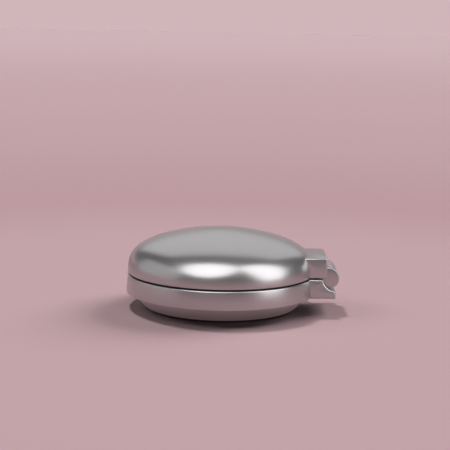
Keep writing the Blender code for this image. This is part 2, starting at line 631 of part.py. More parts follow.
def deck_plate(material):
    """Floor and wall of the disc well, with the battery bay moulded under it."""
    wall = WELL_RADIUS + WELL_WALL
    rim_bottom = DECK_RIM_Z - DECK_RIM_THICKNESS
    deck = turned("deck_plate", [
        (0.0, DECK_BOTTOM_Z), (wall, DECK_BOTTOM_Z), (wall, rim_bottom), (DECK_RADIUS, rim_bottom),
        (DECK_RADIUS, DECK_RIM_Z), (WELL_RADIUS, DECK_RIM_Z), (WELL_RADIUS, DECK_TOP_Z), (0.0, DECK_TOP_Z),
    ], CASE_SEGMENTS)
    rooted = DECK_BOTTOM_Z + DECK_THICKNESS / 2
    join(deck, box(
        "bay", (-BAY_HALF_LENGTH - BAY_WALL, BAY_OUTER_Y - BAY_WALL, BAY_FLOOR_Z - BAY_WALL),
        (BAY_HALF_LENGTH + BAY_WALL, BAY_INNER_Y + BAY_WALL, rooted),
    ))
    cut(deck, box(
        "bay_hollow", (-BAY_HALF_LENGTH, BAY_OUTER_Y, BAY_FLOOR_Z),
        (BAY_HALF_LENGTH, BAY_INNER_Y, DECK_TOP_Z + CUT_MARGIN),
    ))
    pin_end = BAY_HALF_LENGTH + DOOR_PIN_REACH
    cut(deck, cylinder(
        "door_pin_holes", DOOR_PIN_RADIUS + PIVOT_GAP,
        (-pin_end, DOOR_AXIS_Y, DOOR_AXIS_Z), (pin_end, DOOR_AXIS_Y, DOOR_AXIS_Z),
    ))
    pilot_top = DECK_BOSS_BOTTOM_Z + SCREW_BITE + SEAT_GAP
    for angle in SCREW_ANGLES:
        foot = on_circle(SCREW_CIRCLE, angle, DECK_BOSS_BOTTOM_Z)
        join(deck, cylinder("boss", DECK_BOSS_RADIUS, foot, on_circle(SCREW_CIRCLE, angle, rooted)))
        below = on_circle(SCREW_CIRCLE, angle, DECK_BOSS_BOTTOM_Z - CUT_MARGIN)
        cut(deck, cylinder("pilot", SCREW_RADIUS + SLIDE_GAP, below, on_circle(SCREW_CIRCLE, angle, pilot_top)))
    pin_bottom = FRAME_BOTTOM_Z - DAMPER_FLANGE_HEIGHT - SEAT_GAP
    for x, y in DAMPER_SPOTS:
        join(deck, cylinder("damper_pin", DAMPER_PIN_RADIUS, (x, y, pin_bottom), (x, y, rooted)))
    low = DECK_BOTTOM_Z - CUT_MARGIN
    high = DECK_TOP_Z + CUT_MARGIN
    cut(deck, cylinder("hub_hole", HUB_HOLE_RADIUS, (0, 0, low), (0, 0, high), ROUND_SEGMENTS))
    cut(deck, box("slot", (-SLOT_END, -SLOT_HALF_WIDTH, low), (0.0, SLOT_HALF_WIDTH, high)))
    half = TAB_THICKNESS / 2 + TAB_SLOT_GAP
    side = TAB_HALF_WIDTH + TAB_SLOT_GAP
    cut(deck, box(
        "tab_slot", (-TAB_RADIUS - half, -side, rim_bottom - CUT_MARGIN),
        (-TAB_RADIUS + half, side, DECK_RIM_Z + CUT_MARGIN),
    ))
    start = on_circle(CATCH_CIRCLE, CATCH_ANGLE, rim_bottom - CUT_MARGIN)
    end = on_circle(CATCH_CIRCLE, CATCH_ANGLE, DECK_RIM_Z + CUT_MARGIN)
    cut(deck, cylinder("magnet_pocket", MAGNET_RADIUS + SEAT_GAP, start, end))
    return finish(deck, material)


def battery_cells(material):
    """Two round cells, laid in opposite ways."""
    half = CELL_LENGTH / 2
    shoulder = half - CELL_NUB_LENGTH
    profile = [
        (0.0, -half), (CELL_RADIUS, -half), (CELL_RADIUS, shoulder),
        (CELL_NUB_RADIUS, shoulder), (CELL_NUB_RADIUS, half), (0.0, half),
    ]
    for number, (y, side) in enumerate(zip(CELL_YS, (1, -1)), start=1):
        cell = turned(f"battery_cell_{number}", profile, SMALL_SEGMENTS)
        cell.data.transform(Matrix.Rotation(side * math.pi / 2, 4, "Y"))
        cell.data.transform(Matrix.Translation((0.0, y, CELL_Z)))
        finish(cell, material)


def battery_contacts(material):
    """Sprung strips at the two ends of the bay, each touching both cells."""
    near = CELL_LENGTH / 2 + CELL_SPACE
    far = near + CONTACT_THICKNESS
    for name, side in (("battery_contact_left", -1), ("battery_contact_right", 1)):
        ends = sorted((side * near, side * far))
        contact = box(
            name, (ends[0], BAY_OUTER_Y + SEAT_GAP, CELL_Z - CONTACT_HEIGHT / 2),
            (ends[1], BAY_INNER_Y - SEAT_GAP, CELL_Z + CONTACT_HEIGHT / 2),
        )
        finish(contact, material)


def battery_door(material):
    """Flat door over the bay: round along its hinge edge, with stub pins and a thumb cut."""
    half = BAY_HALF_LENGTH - SLIDE_GAP
    round_radius = DOOR_THICKNESS / 2
    door = box(
        "battery_door", (-half, BAY_OUTER_Y + SLIDE_GAP, DOOR_AXIS_Z - round_radius),
        (half, DOOR_AXIS_Y, DOOR_AXIS_Z + round_radius),
    )
    ends = (-half, DOOR_AXIS_Y, DOOR_AXIS_Z), (half, DOOR_AXIS_Y, DOOR_AXIS_Z)
    join(door, cylinder("edge", round_radius, *ends))
    reach = BAY_HALF_LENGTH + DOOR_PIN_REACH - SEAT_GAP
    pins = (-reach, DOOR_AXIS_Y, DOOR_AXIS_Z), (reach, DOOR_AXIS_Y, DOOR_AXIS_Z)
    join(door, cylinder("pins", DOOR_PIN_RADIUS, *pins))
    thumb_y = BAY_OUTER_Y + SLIDE_GAP + DOOR_THUMB_BITE - DOOR_THUMB_RADIUS
    low = (0.0, thumb_y, DOOR_AXIS_Z - DOOR_THICKNESS)
    high = (0.0, thumb_y, DOOR_AXIS_Z + DOOR_THICKNESS)
    cut(door, cylinder("thumb", DOOR_THUMB_RADIUS, low, high))
    return finish(door, material, (0.0, DOOR_AXIS_Y, DOOR_AXIS_Z))


def main_board(material):
    """Circuit board: a slice of a disc behind the drive, with holes round the deck bosses."""
    board = cylinder("main_board", BOARD_RADIUS, (0, 0, BOARD_Z), (0, 0, BOARD_TOP_Z), CASE_SEGMENTS)
    low = BOARD_Z - CUT_MARGIN
    high = BOARD_TOP_Z + CUT_MARGIN
    wide = BOARD_RADIUS + CUT_MARGIN
    cut(board, box("front", (-wide, -wide, low), (wide, BOARD_FRONT_Y, high)))
    for angle in SCREW_ANGLES:
        start = on_circle(SCREW_CIRCLE, angle, low)
        if start.y > 0:
            end = on_circle(SCREW_CIRCLE, angle, high)
            cut(board, cylinder("hole", DECK_BOSS_RADIUS + SEAT_GAP, start, end))
    return finish(board, material)


def traverse_frame(material):
    """Frame of the disc drive, hung under the deck on three dampers."""
    low = FRAME_BOTTOM_Z - CUT_MARGIN
    high = FRAME_TOP_Z + CUT_MARGIN
    frame = box(
        "traverse_frame", (FRAME_OUTER_X, -FRAME_HALF_WIDTH, FRAME_BOTTOM_Z),
        (FRAME_INNER_X, FRAME_HALF_WIDTH, FRAME_TOP_Z),
    )
    ear = DAMPER_EAR_HALF
    for x, y in DAMPER_SPOTS:
        join(frame, box("ear", (x - ear, y - ear, FRAME_BOTTOM_Z), (x + ear, y + ear, FRAME_TOP_Z)))
        cut(frame, cylinder("ear_hole", DAMPER_NECK_RADIUS + SEAT_GAP, (x, y, low), (x, y, high)))
    inside = FRAME_HALF_WIDTH - FRAME_RAIL
    cut(frame, box(
        "window", (FRAME_OUTER_X + FRAME_RAIL, -inside, low), (FRAME_WINDOW_INNER_X, inside, high),
    ))
    motor_hole = SPINDLE_MOTOR_RADIUS + SEAT_GAP
    cut(frame, cylinder("motor_hole", motor_hole, (0, 0, low), (0, 0, high), ROUND_SEGMENTS))
    pocket = SLED_MOTOR_RADIUS + SEAT_GAP
    motor_end = SLED_MOTOR_X + SLED_MOTOR_LENGTH
    cut(frame, box(
        "motor_pocket", (SLED_MOTOR_X - SEAT_GAP, SCREW_Y - pocket, low),
        (motor_end + SEAT_GAP, SCREW_Y + pocket, high),
    ))
    for y, radius in ((ROD_Y, ROD_RADIUS), (SCREW_Y, LEAD_SCREW_RADIUS)):
        start = (FRAME_OUTER_X - CUT_MARGIN, y, ROD_Z)
        cut(frame, cylinder("rod_hole", radius + SLIDE_GAP, start, (SLED_MOTOR_X, y, ROD_Z)))
    return finish(frame, material)


def dampers(material):
    """Rubber grommets between the frame and the deck's pins."""
    bore = DAMPER_PIN_RADIUS + SEAT_GAP
    low = FRAME_BOTTOM_Z - SEAT_GAP
    high = FRAME_TOP_Z + SEAT_GAP
    top = DECK_BOTTOM_Z - PIVOT_GAP
    profile = [
        (bore, low - DAMPER_FLANGE_HEIGHT), (DAMPER_FLANGE_RADIUS, low - DAMPER_FLANGE_HEIGHT),
        (DAMPER_FLANGE_RADIUS, low), (DAMPER_NECK_RADIUS, low), (DAMPER_NECK_RADIUS, high),
        (DAMPER_FLANGE_RADIUS, high), (DAMPER_FLANGE_RADIUS, top), (bore, top),
    ]
    for number, (x, y) in enumerate(DAMPER_SPOTS, start=1):
        damper = turned(f"damper_{number}", profile, SMALL_SEGMENTS, ring=True)
        damper.data.transform(Matrix.Translation((x, y, 0.0)))
        finish(damper, material)


def spindle_motor(material):
    """Flat motor in the frame, with a flange under it and a bore for the hub's shaft."""
    bore = SPINDLE_SHAFT_RADIUS + SLIDE_GAP
    flange_top = FRAME_BOTTOM_Z - SEAT_GAP
    flange_low = flange_top - SPINDLE_MOTOR_FLANGE_HEIGHT
    bore_low = FRAME_TOP_Z - SPINDLE_SHAFT_DEPTH - SEAT_GAP
    profile = [
        (0.0, SPINDLE_MOTOR_Z), (SPINDLE_MOTOR_RADIUS, SPINDLE_MOTOR_Z),
        (SPINDLE_MOTOR_RADIUS, flange_low), (SPINDLE_MOTOR_FLANGE, flange_low),
        (SPINDLE_MOTOR_FLANGE, flange_top), (SPINDLE_MOTOR_RADIUS, flange_top),
        (SPINDLE_MOTOR_RADIUS, FRAME_TOP_Z), (bore, FRAME_TOP_Z), (bore, bore_low), (0.0, bore_low),
    ]
    return finish(turned("spindle_motor", profile), material)


def turntable_hub(material):
    """Turntable with its shaft, the seat for the disc and the nose that centres it."""
    shaft_low = FRAME_TOP_Z - SPINDLE_SHAFT_DEPTH
    boss_low = FRAME_TOP_Z + SLIDE_GAP
    seat_low = HUB_SEAT_Z - HUB_FLANGE_HEIGHT
    nose_top = HUB_SEAT_Z + HUB_NOSE_HEIGHT
    hub = turned("turntable_hub", [
        (0.0, shaft_low), (SPINDLE_SHAFT_RADIUS, shaft_low), (SPINDLE_SHAFT_RADIUS, boss_low),
        (HUB_BOSS_RADIUS, boss_low), (HUB_BOSS_RADIUS, seat_low), (HUB_FLANGE_RADIUS, seat_low),
        (HUB_FLANGE_RADIUS, HUB_SEAT_Z), (HUB_NOSE_RADIUS, HUB_SEAT_Z),
        (HUB_NOSE_RADIUS, nose_top - HUB_NOSE_EDGE), (HUB_NOSE_RADIUS - HUB_NOSE_EDGE, nose_top), (0.0, nose_top),
    ])
    ball_z = HUB_SEAT_Z + CHUCK_BALL_LIFT
    pocket = CHUCK_BALL_CIRCLE - CHUCK_BALL_RADIUS - SEAT_GAP
    for angle in CHUCK_BALL_ANGLES:
        start = on_circle(pocket, angle, ball_z)
        end = on_circle(HUB_NOSE_RADIUS + CUT_MARGIN, angle, ball_z)
        cut(hub, cylinder("pocket", CHUCK_BALL_RADIUS + BALL_GAP, start, end))
    return finish(hub, material)


def chuck_balls(material):
    """Small balls in the hub's nose that hold the disc."""
    for number, angle in enumerate(CHUCK_BALL_ANGLES, start=1):
        bm = bmesh.new()
        centre = on_circle(CHUCK_BALL_CIRCLE, angle, HUB_SEAT_Z + CHUCK_BALL_LIFT)
        reach = CHUCK_BALL_RADIUS - BALL_GAP
        bmesh.ops.create_icosphere(bm, subdivisions=2, radius=reach, matrix=Matrix.Translation(centre))
        finish(add_object(f"chuck_ball_{number}", bm), material)


def pickup_sled(material):
    """Sled on the rod and the lead screw, with a well for the lens holder."""
    pivot = (LENS_REST_X, 0.0, ROD_Z)
    side = FRAME_HALF_WIDTH - FRAME_RAIL - SLIDE_GAP
    outer_x = LENS_REST_X - SLED_OUTER_REACH
    inner_x = LENS_REST_X + SLED_INNER_REACH
    sled = box("pickup_sled", (outer_x, -side, SLED_BOTTOM_Z), (inner_x, side, SLED_TOP_Z))
    for y, radius in ((ROD_Y, ROD_RADIUS), (SCREW_Y, LEAD_SCREW_RADIUS)):
        start = (outer_x - CUT_MARGIN, y, ROD_Z)
        cut(sled, cylinder("bush", radius + SLIDE_GAP, start, (inner_x + CUT_MARGIN, y, ROD_Z)))
    half_x = LENS_HOLDER_HALF_X + LENS_HOLDER_GAP
    half_y = LENS_HOLDER_HALF_Y + LENS_HOLDER_GAP
    cut(sled, box(
        "well", (LENS_REST_X - half_x, -half_y, LENS_HOLDER_BOTTOM_Z - LENS_HOLDER_GAP),
        (LENS_REST_X + half_x, half_y, SLED_TOP_Z + CUT_MARGIN),
    ))
    return finish(sled, material, pivot)


def lens_holder(material):
    """Floating block that carries the lens."""
    pivot = (LENS_REST_X, 0.0, LENS_HOLDER_TOP_Z)
    holder = box(
        "lens_holder", (LENS_REST_X - LENS_HOLDER_HALF_X, -LENS_HOLDER_HALF_Y, LENS_HOLDER_BOTTOM_Z),
        (LENS_REST_X + LENS_HOLDER_HALF_X, LENS_HOLDER_HALF_Y, LENS_HOLDER_TOP_Z),
    )
    low = (LENS_REST_X, 0.0, LENS_HOLDER_TOP_Z - LENS_SINK - SEAT_GAP)
    high = (LENS_REST_X, 0.0, LENS_HOLDER_TOP_Z + CUT_MARGIN)
    cut(holder, cylinder("lens_seat", LENS_RADIUS + SEAT_GAP, low, high))
    return finish(holder, material, pivot)


def objective_lens(material):
    """Small round lens with a crowned top."""
    low = LENS_HOLDER_TOP_Z - LENS_SINK
    profile = [
        (0.0, low), (LENS_RADIUS, low), (LENS_RADIUS, LENS_HOLDER_TOP_Z),
        (LENS_SHOULDER_RADIUS, LENS_HOLDER_TOP_Z + LENS_SHOULDER_LIFT), (0.0, LENS_HOLDER_TOP_Z + LENS_CROWN),
    ]
    lens = turned("objective_lens", profile, SMALL_SEGMENTS)
    lens.data.transform(Matrix.Translation((LENS_REST_X, 0.0, 0.0)))
    return finish(lens, material, (LENS_REST_X, 0.0, LENS_HOLDER_TOP_Z))


def guide_rod(material):
    """Plain rod that the sled slides on."""
    start = (FRAME_OUTER_X + SEAT_GAP, ROD_Y, ROD_Z)
    end = (SLED_MOTOR_X - SEAT_GAP, ROD_Y, ROD_Z)
    return finish(cylinder("guide_rod", ROD_RADIUS, start, end), material)


def lead_screw(material):
    """Screw shaft that drives the sled, running into its motor."""
    start = (FRAME_OUTER_X + SEAT_GAP, SCREW_Y, ROD_Z)
    end = (SLED_MOTOR_X + SLED_MOTOR_SOCKET - SEAT_GAP, SCREW_Y, ROD_Z)
    return finish(cylinder("lead_screw", LEAD_SCREW_RADIUS, start, end), material, (0.0, SCREW_Y, ROD_Z))


def sled_motor(material):
    """Small motor at the inner end of the lead screw."""
    start = (SLED_MOTOR_X, SCREW_Y, ROD_Z)
    motor = cylinder("sled_motor", SLED_MOTOR_RADIUS, start, (SLED_MOTOR_X + SLED_MOTOR_LENGTH, SCREW_Y, ROD_Z))
    mouth = (SLED_MOTOR_X - CUT_MARGIN, SCREW_Y, ROD_Z)
    depth = (SLED_MOTOR_X + SLED_MOTOR_SOCKET, SCREW_Y, ROD_Z)
    cut(motor, cylinder("socket", LEAD_SCREW_RADIUS + SLIDE_GAP, mouth, depth))
    return finish(motor, material)


def control_keys(material):
    """Push keys in the rear of the band, each with a flange that keeps it in."""
    face = band_radius(KEY_Z) + KEY_PROUD
    half_width = KEY_WIDTH / 2
    flange_outer = flat_behind_band(half_width + KEY_FLANGE_LIP)
    flange_inner = flange_outer - KEY_FLANGE_THICKNESS
    half_height = KEY_HEIGHT / 2
    for name, angle in KEY_ANGLES.items():
        key = box(
            name, (flange_inner, -half_width, KEY_Z - half_height), (face, half_width, KEY_Z + half_height), KEY_EDGE,
        )
        join(key, box(
            "flange", (flange_inner, -half_width - KEY_FLANGE_LIP, KEY_Z - half_height - KEY_FLANGE_LIP),
            (flange_outer, half_width + KEY_FLANGE_LIP, KEY_Z + half_height + KEY_FLANGE_LIP),
        ))
        finish(spin_place(key, angle), material, on_circle(face, angle, KEY_Z))


def hold_switch(material):
    """Slider that locks the keys, at one end of its slot."""
    rest = -HOLD_TRAVEL / 2
    face = band_radius(KEY_Z) + KEY_PROUD
    flange_outer = flat_behind_band(HOLD_FLANGE_HALF + HOLD_TRAVEL / 2)
    flange_inner = flange_outer - KEY_FLANGE_THICKNESS
    half = HOLD_WIDTH / 2
    knob = box(
        "hold_switch", (flange_inner, rest - half, KEY_Z - HOLD_HEIGHT / 2),
        (face, rest + half, KEY_Z + HOLD_HEIGHT / 2), KEY_EDGE,
    )
    join(knob, box(
        "flange", (flange_inner, rest - HOLD_FLANGE_HALF, KEY_Z - HOLD_HEIGHT / 2 - KEY_FLANGE_LIP),
        (flange_outer, rest + HOLD_FLANGE_HALF, KEY_Z + HOLD_HEIGHT / 2 + KEY_FLANGE_LIP),
    ))
    return finish(spin_place(knob, HOLD_ANGLE), material, on_circle(face, HOLD_ANGLE, KEY_Z))


def wheel_circle():
    """Distance of the volume wheel's axle from the case axis."""
    return band_radius(WHEEL_Z) + WHEEL_PROUD - WHEEL_RADIUS


def volume_wheel(material):
    """Notched thumb wheel, mostly behind the band."""
    count = 2 * WHEEL_NOTCHES
    centre = on_circle(wheel_circle(), WHEEL_ANGLE, WHEEL_Z)
    bm = bmesh.new()
    rim = []
    for step in range(count):
        radius = WHEEL_RADIUS - WHEEL_NOTCH_DEPTH * (step % 2)
        rim.append(bm.verts.new(centre + on_circle(radius, 360.0 * step / count)))
    face = bm.faces.new(rim)
    lifted = bmesh.ops.extrude_face_region(bm, geom=[face])["geom"]
    raised = [part for part in lifted if isinstance(part, bmesh.types.BMVert)]
    bmesh.ops.translate(bm, vec=(0, 0, WHEEL_THICKNESS), verts=raised)
    wheel = add_object("volume_wheel", bm)
    rise = Vector((0, 0, WHEEL_THICKNESS + CUT_MARGIN))
    start = centre - Vector((0, 0, CUT_MARGIN))
    cut(wheel, cylinder("bore", WHEEL_AXLE_RADIUS + SLIDE_GAP, start, centre + rise))
    return finish(wheel, material, centre)


def volume_control(material):
    """Rotary control under the wheel, with the axle that the wheel turns on."""
    centre = on_circle(wheel_circle(), WHEEL_ANGLE)
    top = WHEEL_Z - SLIDE_GAP
    control = box(
        "volume_control", (-POT_INNER_REACH, -POT_HALF_WIDTH, top - POT_THICKNESS),
        (POT_OUTER_REACH, POT_HALF_WIDTH, top),
    )
    spin_place(control, WHEEL_ANGLE)
    control.data.transform(Matrix.Translation(centre))
    foot = Vector((centre.x, centre.y, top - POT_THICKNESS / 2))
    head = Vector((centre.x, centre.y, WHEEL_Z + WHEEL_THICKNESS))
    join(control, cylinder("axle", WHEEL_AXLE_RADIUS, foot, head))
    return finish(control, material)


def socket(name, angle, nose_radius, bore_radius, material):
    """A jack on the board, with its round nose in the band."""
    nose = band_radius(JACK_Z) - JACK_NOSE_SINK
    half = JACK_BODY_WIDTH / 2
    body_outer = flat_behind_band(half)
    jack = box(
        name, (body_outer - JACK_DEPTH, -half, JACK_Z - JACK_BODY_HEIGHT / 2),
        (body_outer, half, JACK_Z + JACK_BODY_HEIGHT / 2),
    )
    join(jack, cylinder("nose", nose_radius, (body_outer - CUT_MARGIN, 0, JACK_Z), (nose, 0, JACK_Z)))
    bore_end = nose - JACK_BORE_DEPTH
    cut(jack, cylinder("bore", bore_radius, (bore_end, 0, JACK_Z), (nose + CUT_MARGIN, 0, JACK_Z)))
    if name == "dc_jack":
        root = (bore_end - CUT_MARGIN, 0, JACK_Z)
        join(jack, cylinder("pin", DC_PIN_RADIUS, root, (nose - DC_PIN_SINK, 0, JACK_Z)))
    return finish(spin_place(jack, angle), material)


def lid_switch(material):
    """Forked light barrier under the rim, where the lid's tab drops in."""
    half = SWITCH_THICKNESS / 2
    top = DECK_RIM_Z - DECK_RIM_THICKNESS - SEAT_GAP
    switch = box(
        "lid_switch", (-TAB_RADIUS - half, -SWITCH_HALF_WIDTH, SWITCH_BOTTOM_Z),
        (-TAB_RADIUS + half, SWITCH_HALF_WIDTH, top),
    )
    far = SWITCH_HALF_WIDTH + CUT_MARGIN
    cut(switch, box(
        "slot", (-TAB_RADIUS - SWITCH_SLOT / 2, -far, SWITCH_SLOT_Z),
        (-TAB_RADIUS + SWITCH_SLOT / 2, far, top + CUT_MARGIN),
    ))
    return finish(switch, material)


def catch_magnet(material):
    """Round magnet in the rim of the deck."""
    top = on_circle(CATCH_CIRCLE, CATCH_ANGLE, DECK_RIM_Z)
    low = on_circle(CATCH_CIRCLE, CATCH_ANGLE, DECK_RIM_Z - MAGNET_HEIGHT)
    return finish(cylinder("catch_magnet", MAGNET_RADIUS, low, top), material)


def catch_plate(material):
    """Steel plate in the lid, over the magnet."""
    low = on_circle(CATCH_CIRCLE, CATCH_ANGLE, LID_Z + LINER_RECESS)
    top = on_circle(CATCH_CIRCLE, CATCH_ANGLE, LID_Z + LINER_RECESS + CATCH_PLATE_HEIGHT)
    return finish(cylinder("catch_plate", MAGNET_RADIUS, low, top), material, (HINGE_X, 0.0, HINGE_Z))


def hinge_pin(material):
    """Steel pin through the three knuckles."""
    end = BARREL_HALF_WIDTH - SEAT_GAP
    return finish(hinge_rod("hinge_pin", PIN_RADIUS, -end, end, SMALL_SEGMENTS), material)


def hinge_washers(material):
    """Friction washers on the pin, between the knuckles."""
    near = CENTRE_KNUCKLE_HALF + SEAT_GAP
    far = near + WASHER_THICKNESS
    for name, side in (("hinge_washer_front", -1), ("hinge_washer_rear", 1)):
        washer = hinge_rod(name, WASHER_RADIUS, side * near, side * far)
        bore_near = side * (near - CUT_MARGIN)
        bore_far = side * (far + CUT_MARGIN)
        cut(washer, hinge_rod("bore", PIN_RADIUS + SLIDE_GAP, bore_near, bore_far, SMALL_SEGMENTS))
        finish(washer, material)


def lid_shell(material):
    """Domed lid with the hinge's upper block and its two outer knuckles."""
    outer = [(0.0, LID_Z), (RIM_RADIUS - LID_EDGE, LID_Z)]
    outer += dome_curve(RIM_RADIUS, DOME_HEIGHT, LID_Z + LID_EDGE, DOME_STEPS)
    shell = turned("lid_shell", outer, CASE_SEGMENTS)
    join(shell, box(
        "block", (BLOCK_ROOT, -HINGE_HALF_WIDTH, LID_Z),
        (LID_BLOCK_REACH, HINGE_HALF_WIDTH, LID_Z + LID_BLOCK_HEIGHT), BLOCK_EDGE,
    ))
    centre = CENTRE_KNUCKLE_HALF + WASHER_THICKNESS + 2 * SEAT_GAP
    cut(shell, hinge_rod("relief", BARREL_RADIUS + HINGE_GAP, -centre, centre))
    for side in (-1, 1):
        join(shell, hinge_rod("knuckle", BARREL_RADIUS, side * centre, side * BARREL_HALF_WIDTH))
    far = BARREL_HALF_WIDTH + CUT_MARGIN
    cut(shell, hinge_rod("pin_bore", PIN_RADIUS + SLIDE_GAP, -far, far, SMALL_SEGMENTS))
    inner_radius = RIM_RADIUS - LID_WALL
    inner = [(0.0, LID_Z - CUT_MARGIN), (inner_radius, LID_Z - CUT_MARGIN)]
    inner += dome_curve(inner_radius, DOME_HEIGHT - LID_WALL, LID_Z, LINER_STEPS)
    cut(shell, turned("hollow", inner, CASE_SEGMENTS))
    return finish(shell, material, (HINGE_X, 0.0, HINGE_Z))


def lid_liner(material):
    """Moulded lining of the lid, with a flange round its foot and the interlock tab."""
    low = LID_Z + LINER_RECESS
    outer_radius = RIM_RADIUS - LID_WALL - SEAT_GAP
    outer_height = DOME_HEIGHT - LID_WALL - SEAT_GAP
    flange_inner = outer_radius - LINER_FLANGE_WIDTH
    flange_top = low + LINER_FLANGE_HEIGHT
    profile = [(flange_inner, low), (outer_radius - SEAT_GAP, low)]
    profile += dome_curve(outer_radius, outer_height, low + SEAT_GAP, LINER_STEPS)
    inner = dome_curve(outer_radius - LINER_WALL, outer_height - LINER_WALL, flange_top, LINER_STEPS)
    profile += list(reversed(inner))
    profile.append((flange_inner, flange_top))
    liner = turned("lid_liner", profile, CASE_SEGMENTS, ring=True)
    half = TAB_THICKNESS / 2
    join(liner, box(
        "tab", (-TAB_RADIUS - half, -TAB_HALF_WIDTH, TAB_BOTTOM_Z),
        (-TAB_RADIUS + half, TAB_HALF_WIDTH, low + LINER_FLANGE_HEIGHT / 2),
    ))
    start = on_circle(CATCH_CIRCLE, CATCH_ANGLE, low - CUT_MARGIN)
    end = on_circle(CATCH_CIRCLE, CATCH_ANGLE, low + CATCH_PLATE_HEIGHT + SEAT_GAP)
    cut(liner, cylinder("plate_pocket", MAGNET_RADIUS + SEAT_GAP, start, end))
    return finish(liner, material, (HINGE_X, 0.0, HINGE_Z))


def main():
    clear_scene()
    case_metal = make_material("satin_aluminium", (0.55, 0.52, 0.53), 0.32, 1.0)
    steel = make_material("bright_steel", (0.62, 0.62, 0.63), 0.25, 1.0)
    rubber = make_material("black_rubber", (0.015, 0.015, 0.016), 0.85, 0.0)
    grey_plastic = make_material("grey_plastic", (0.16, 0.16, 0.17), 0.5, 0.0)
    black_plastic = make_material("black_plastic", (0.02, 0.02, 0.022), 0.45, 0.0)
    board_green = make_material("board_laminate", (0.02, 0.12, 0.05), 0.5, 0.0)
    glass = make_material("lens_glass", (0.25, 0.3, 0.5), 0.05, 0.0)

    base_shell(case_metal)
    rest_pad(rubber)
    rim_gasket(rubber)
    case_screws(steel)
    deck_plate(grey_plastic)
    battery_cells(steel)
    battery_contacts(steel)
    battery_door(grey_plastic)
    main_board(board_green)
    traverse_frame(black_plastic)
    dampers(rubber)
    spindle_motor(steel)
    turntable_hub(black_plastic)
    chuck_balls(steel)
    pickup_sled(black_plastic)
    lens_holder(black_plastic)
    objective_lens(glass)
    guide_rod(steel)
    lead_screw(steel)
    sled_motor(steel)
    control_keys(case_metal)
    hold_switch(case_metal)
    volume_wheel(black_plastic)
    volume_control(black_plastic)
    socket("headphone_jack", HEADPHONE_ANGLE, HEADPHONE_NOSE_RADIUS, HEADPHONE_BORE_RADIUS, black_plastic)
    socket("dc_jack", DC_ANGLE, DC_NOSE_RADIUS, DC_BORE_RADIUS, black_plastic)
    lid_switch(black_plastic)
    catch_magnet(steel)
    hinge_pin(steel)
    hinge_washers(steel)
    lid_shell(case_metal)
    lid_liner(grey_plastic)
    catch_plate(steel)


main()
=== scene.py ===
import json
import math

import bmesh
import bpy
from mathutils import Matrix, Vector


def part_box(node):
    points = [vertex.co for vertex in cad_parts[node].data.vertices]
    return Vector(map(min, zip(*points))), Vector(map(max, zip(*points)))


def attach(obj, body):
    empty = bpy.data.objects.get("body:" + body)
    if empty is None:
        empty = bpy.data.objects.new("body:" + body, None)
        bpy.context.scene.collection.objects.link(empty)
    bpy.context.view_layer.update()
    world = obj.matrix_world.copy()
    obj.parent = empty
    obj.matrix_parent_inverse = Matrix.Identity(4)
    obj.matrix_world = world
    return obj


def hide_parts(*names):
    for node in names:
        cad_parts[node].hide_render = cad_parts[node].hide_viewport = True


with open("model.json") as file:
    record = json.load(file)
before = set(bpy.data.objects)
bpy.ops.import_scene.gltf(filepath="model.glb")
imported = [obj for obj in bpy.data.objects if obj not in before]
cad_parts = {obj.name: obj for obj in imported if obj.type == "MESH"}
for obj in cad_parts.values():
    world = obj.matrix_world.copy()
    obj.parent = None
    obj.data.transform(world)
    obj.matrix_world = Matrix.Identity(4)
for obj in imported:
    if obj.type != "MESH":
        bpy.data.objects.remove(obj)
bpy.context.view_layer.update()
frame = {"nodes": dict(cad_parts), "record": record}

NODES = frame["nodes"]
MM = 0.001

# Facets round a full turn, steps on a rounded edge and the least turn of a sharp edge
CASE_SEGMENTS = 180
ROUND_SEGMENTS = 64
SMALL_SEGMENTS = 32
PIN_SEGMENTS = 16
GROOVE_SEGMENTS = 12
EDGE_STEPS = 3
SHARP_ANGLE = math.radians(35)

# Clearances, and the rounding of small edges
SEAT_GAP = 0.3 * MM
PIVOT_GAP = 0.15 * MM
BALL_GAP = 0.1 * MM
SKIN_INSET = 0.002 * MM
HINGE_GAP = 1.0 * MM
CUT_MARGIN = 1.0 * MM
SMALL_EDGE = 0.3 * MM

# Sizes read from the frame
BASE_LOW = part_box("base_shell")[0]
LID_LOW, LID_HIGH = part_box("lid_shell")
PAD_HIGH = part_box("rest_pad")[1]
PIN_LOW, PIN_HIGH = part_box("hinge_pin")
CASE_RADIUS = -BASE_LOW.x - SKIN_INSET
RIM_RADIUS = -LID_LOW.x
BOWL_Z = BASE_LOW.z
CROWN_Z = LID_HIGH.z
HINGE_X = (PIN_LOW.x + PIN_HIGH.x) / 2
HINGE_Z = (PIN_LOW.z + PIN_HIGH.z) / 2

# Case sizes that the frame's boxes don't show
BAND_Z = 11.2 * MM
RIM_Z = 25.0 * MM
LID_Z = 26.2 * MM
BOWL_FLOOR_RADIUS = 56.7 * MM
BOWL_TOP_RADIUS = 63.8 * MM
BOWL_BULGE = 0.9 * MM
BAND_EDGE = 0.9 * MM
LID_EDGE = 0.6 * MM
CASE_WALL = 2.2 * MM
LID_WALL = 2.0 * MM
GASKET_WIDTH = 0.9 * MM
DOME_FLANK_POWER = 3.2
DOME_CROWN_POWER = 1.5
DOME_STEPS = 44
DOME_FINENESS = 40
CROWN_BLEND = 10.0 * MM
CROWN_SHARES = (0.75, 0.5, 0.25, 0.0)

GAP_Z = (RIM_Z + LID_Z) / 2
DOME_HEIGHT = CROWN_Z - GAP_Z
BAND_INNER_RADIUS = RIM_RADIUS - CASE_WALL

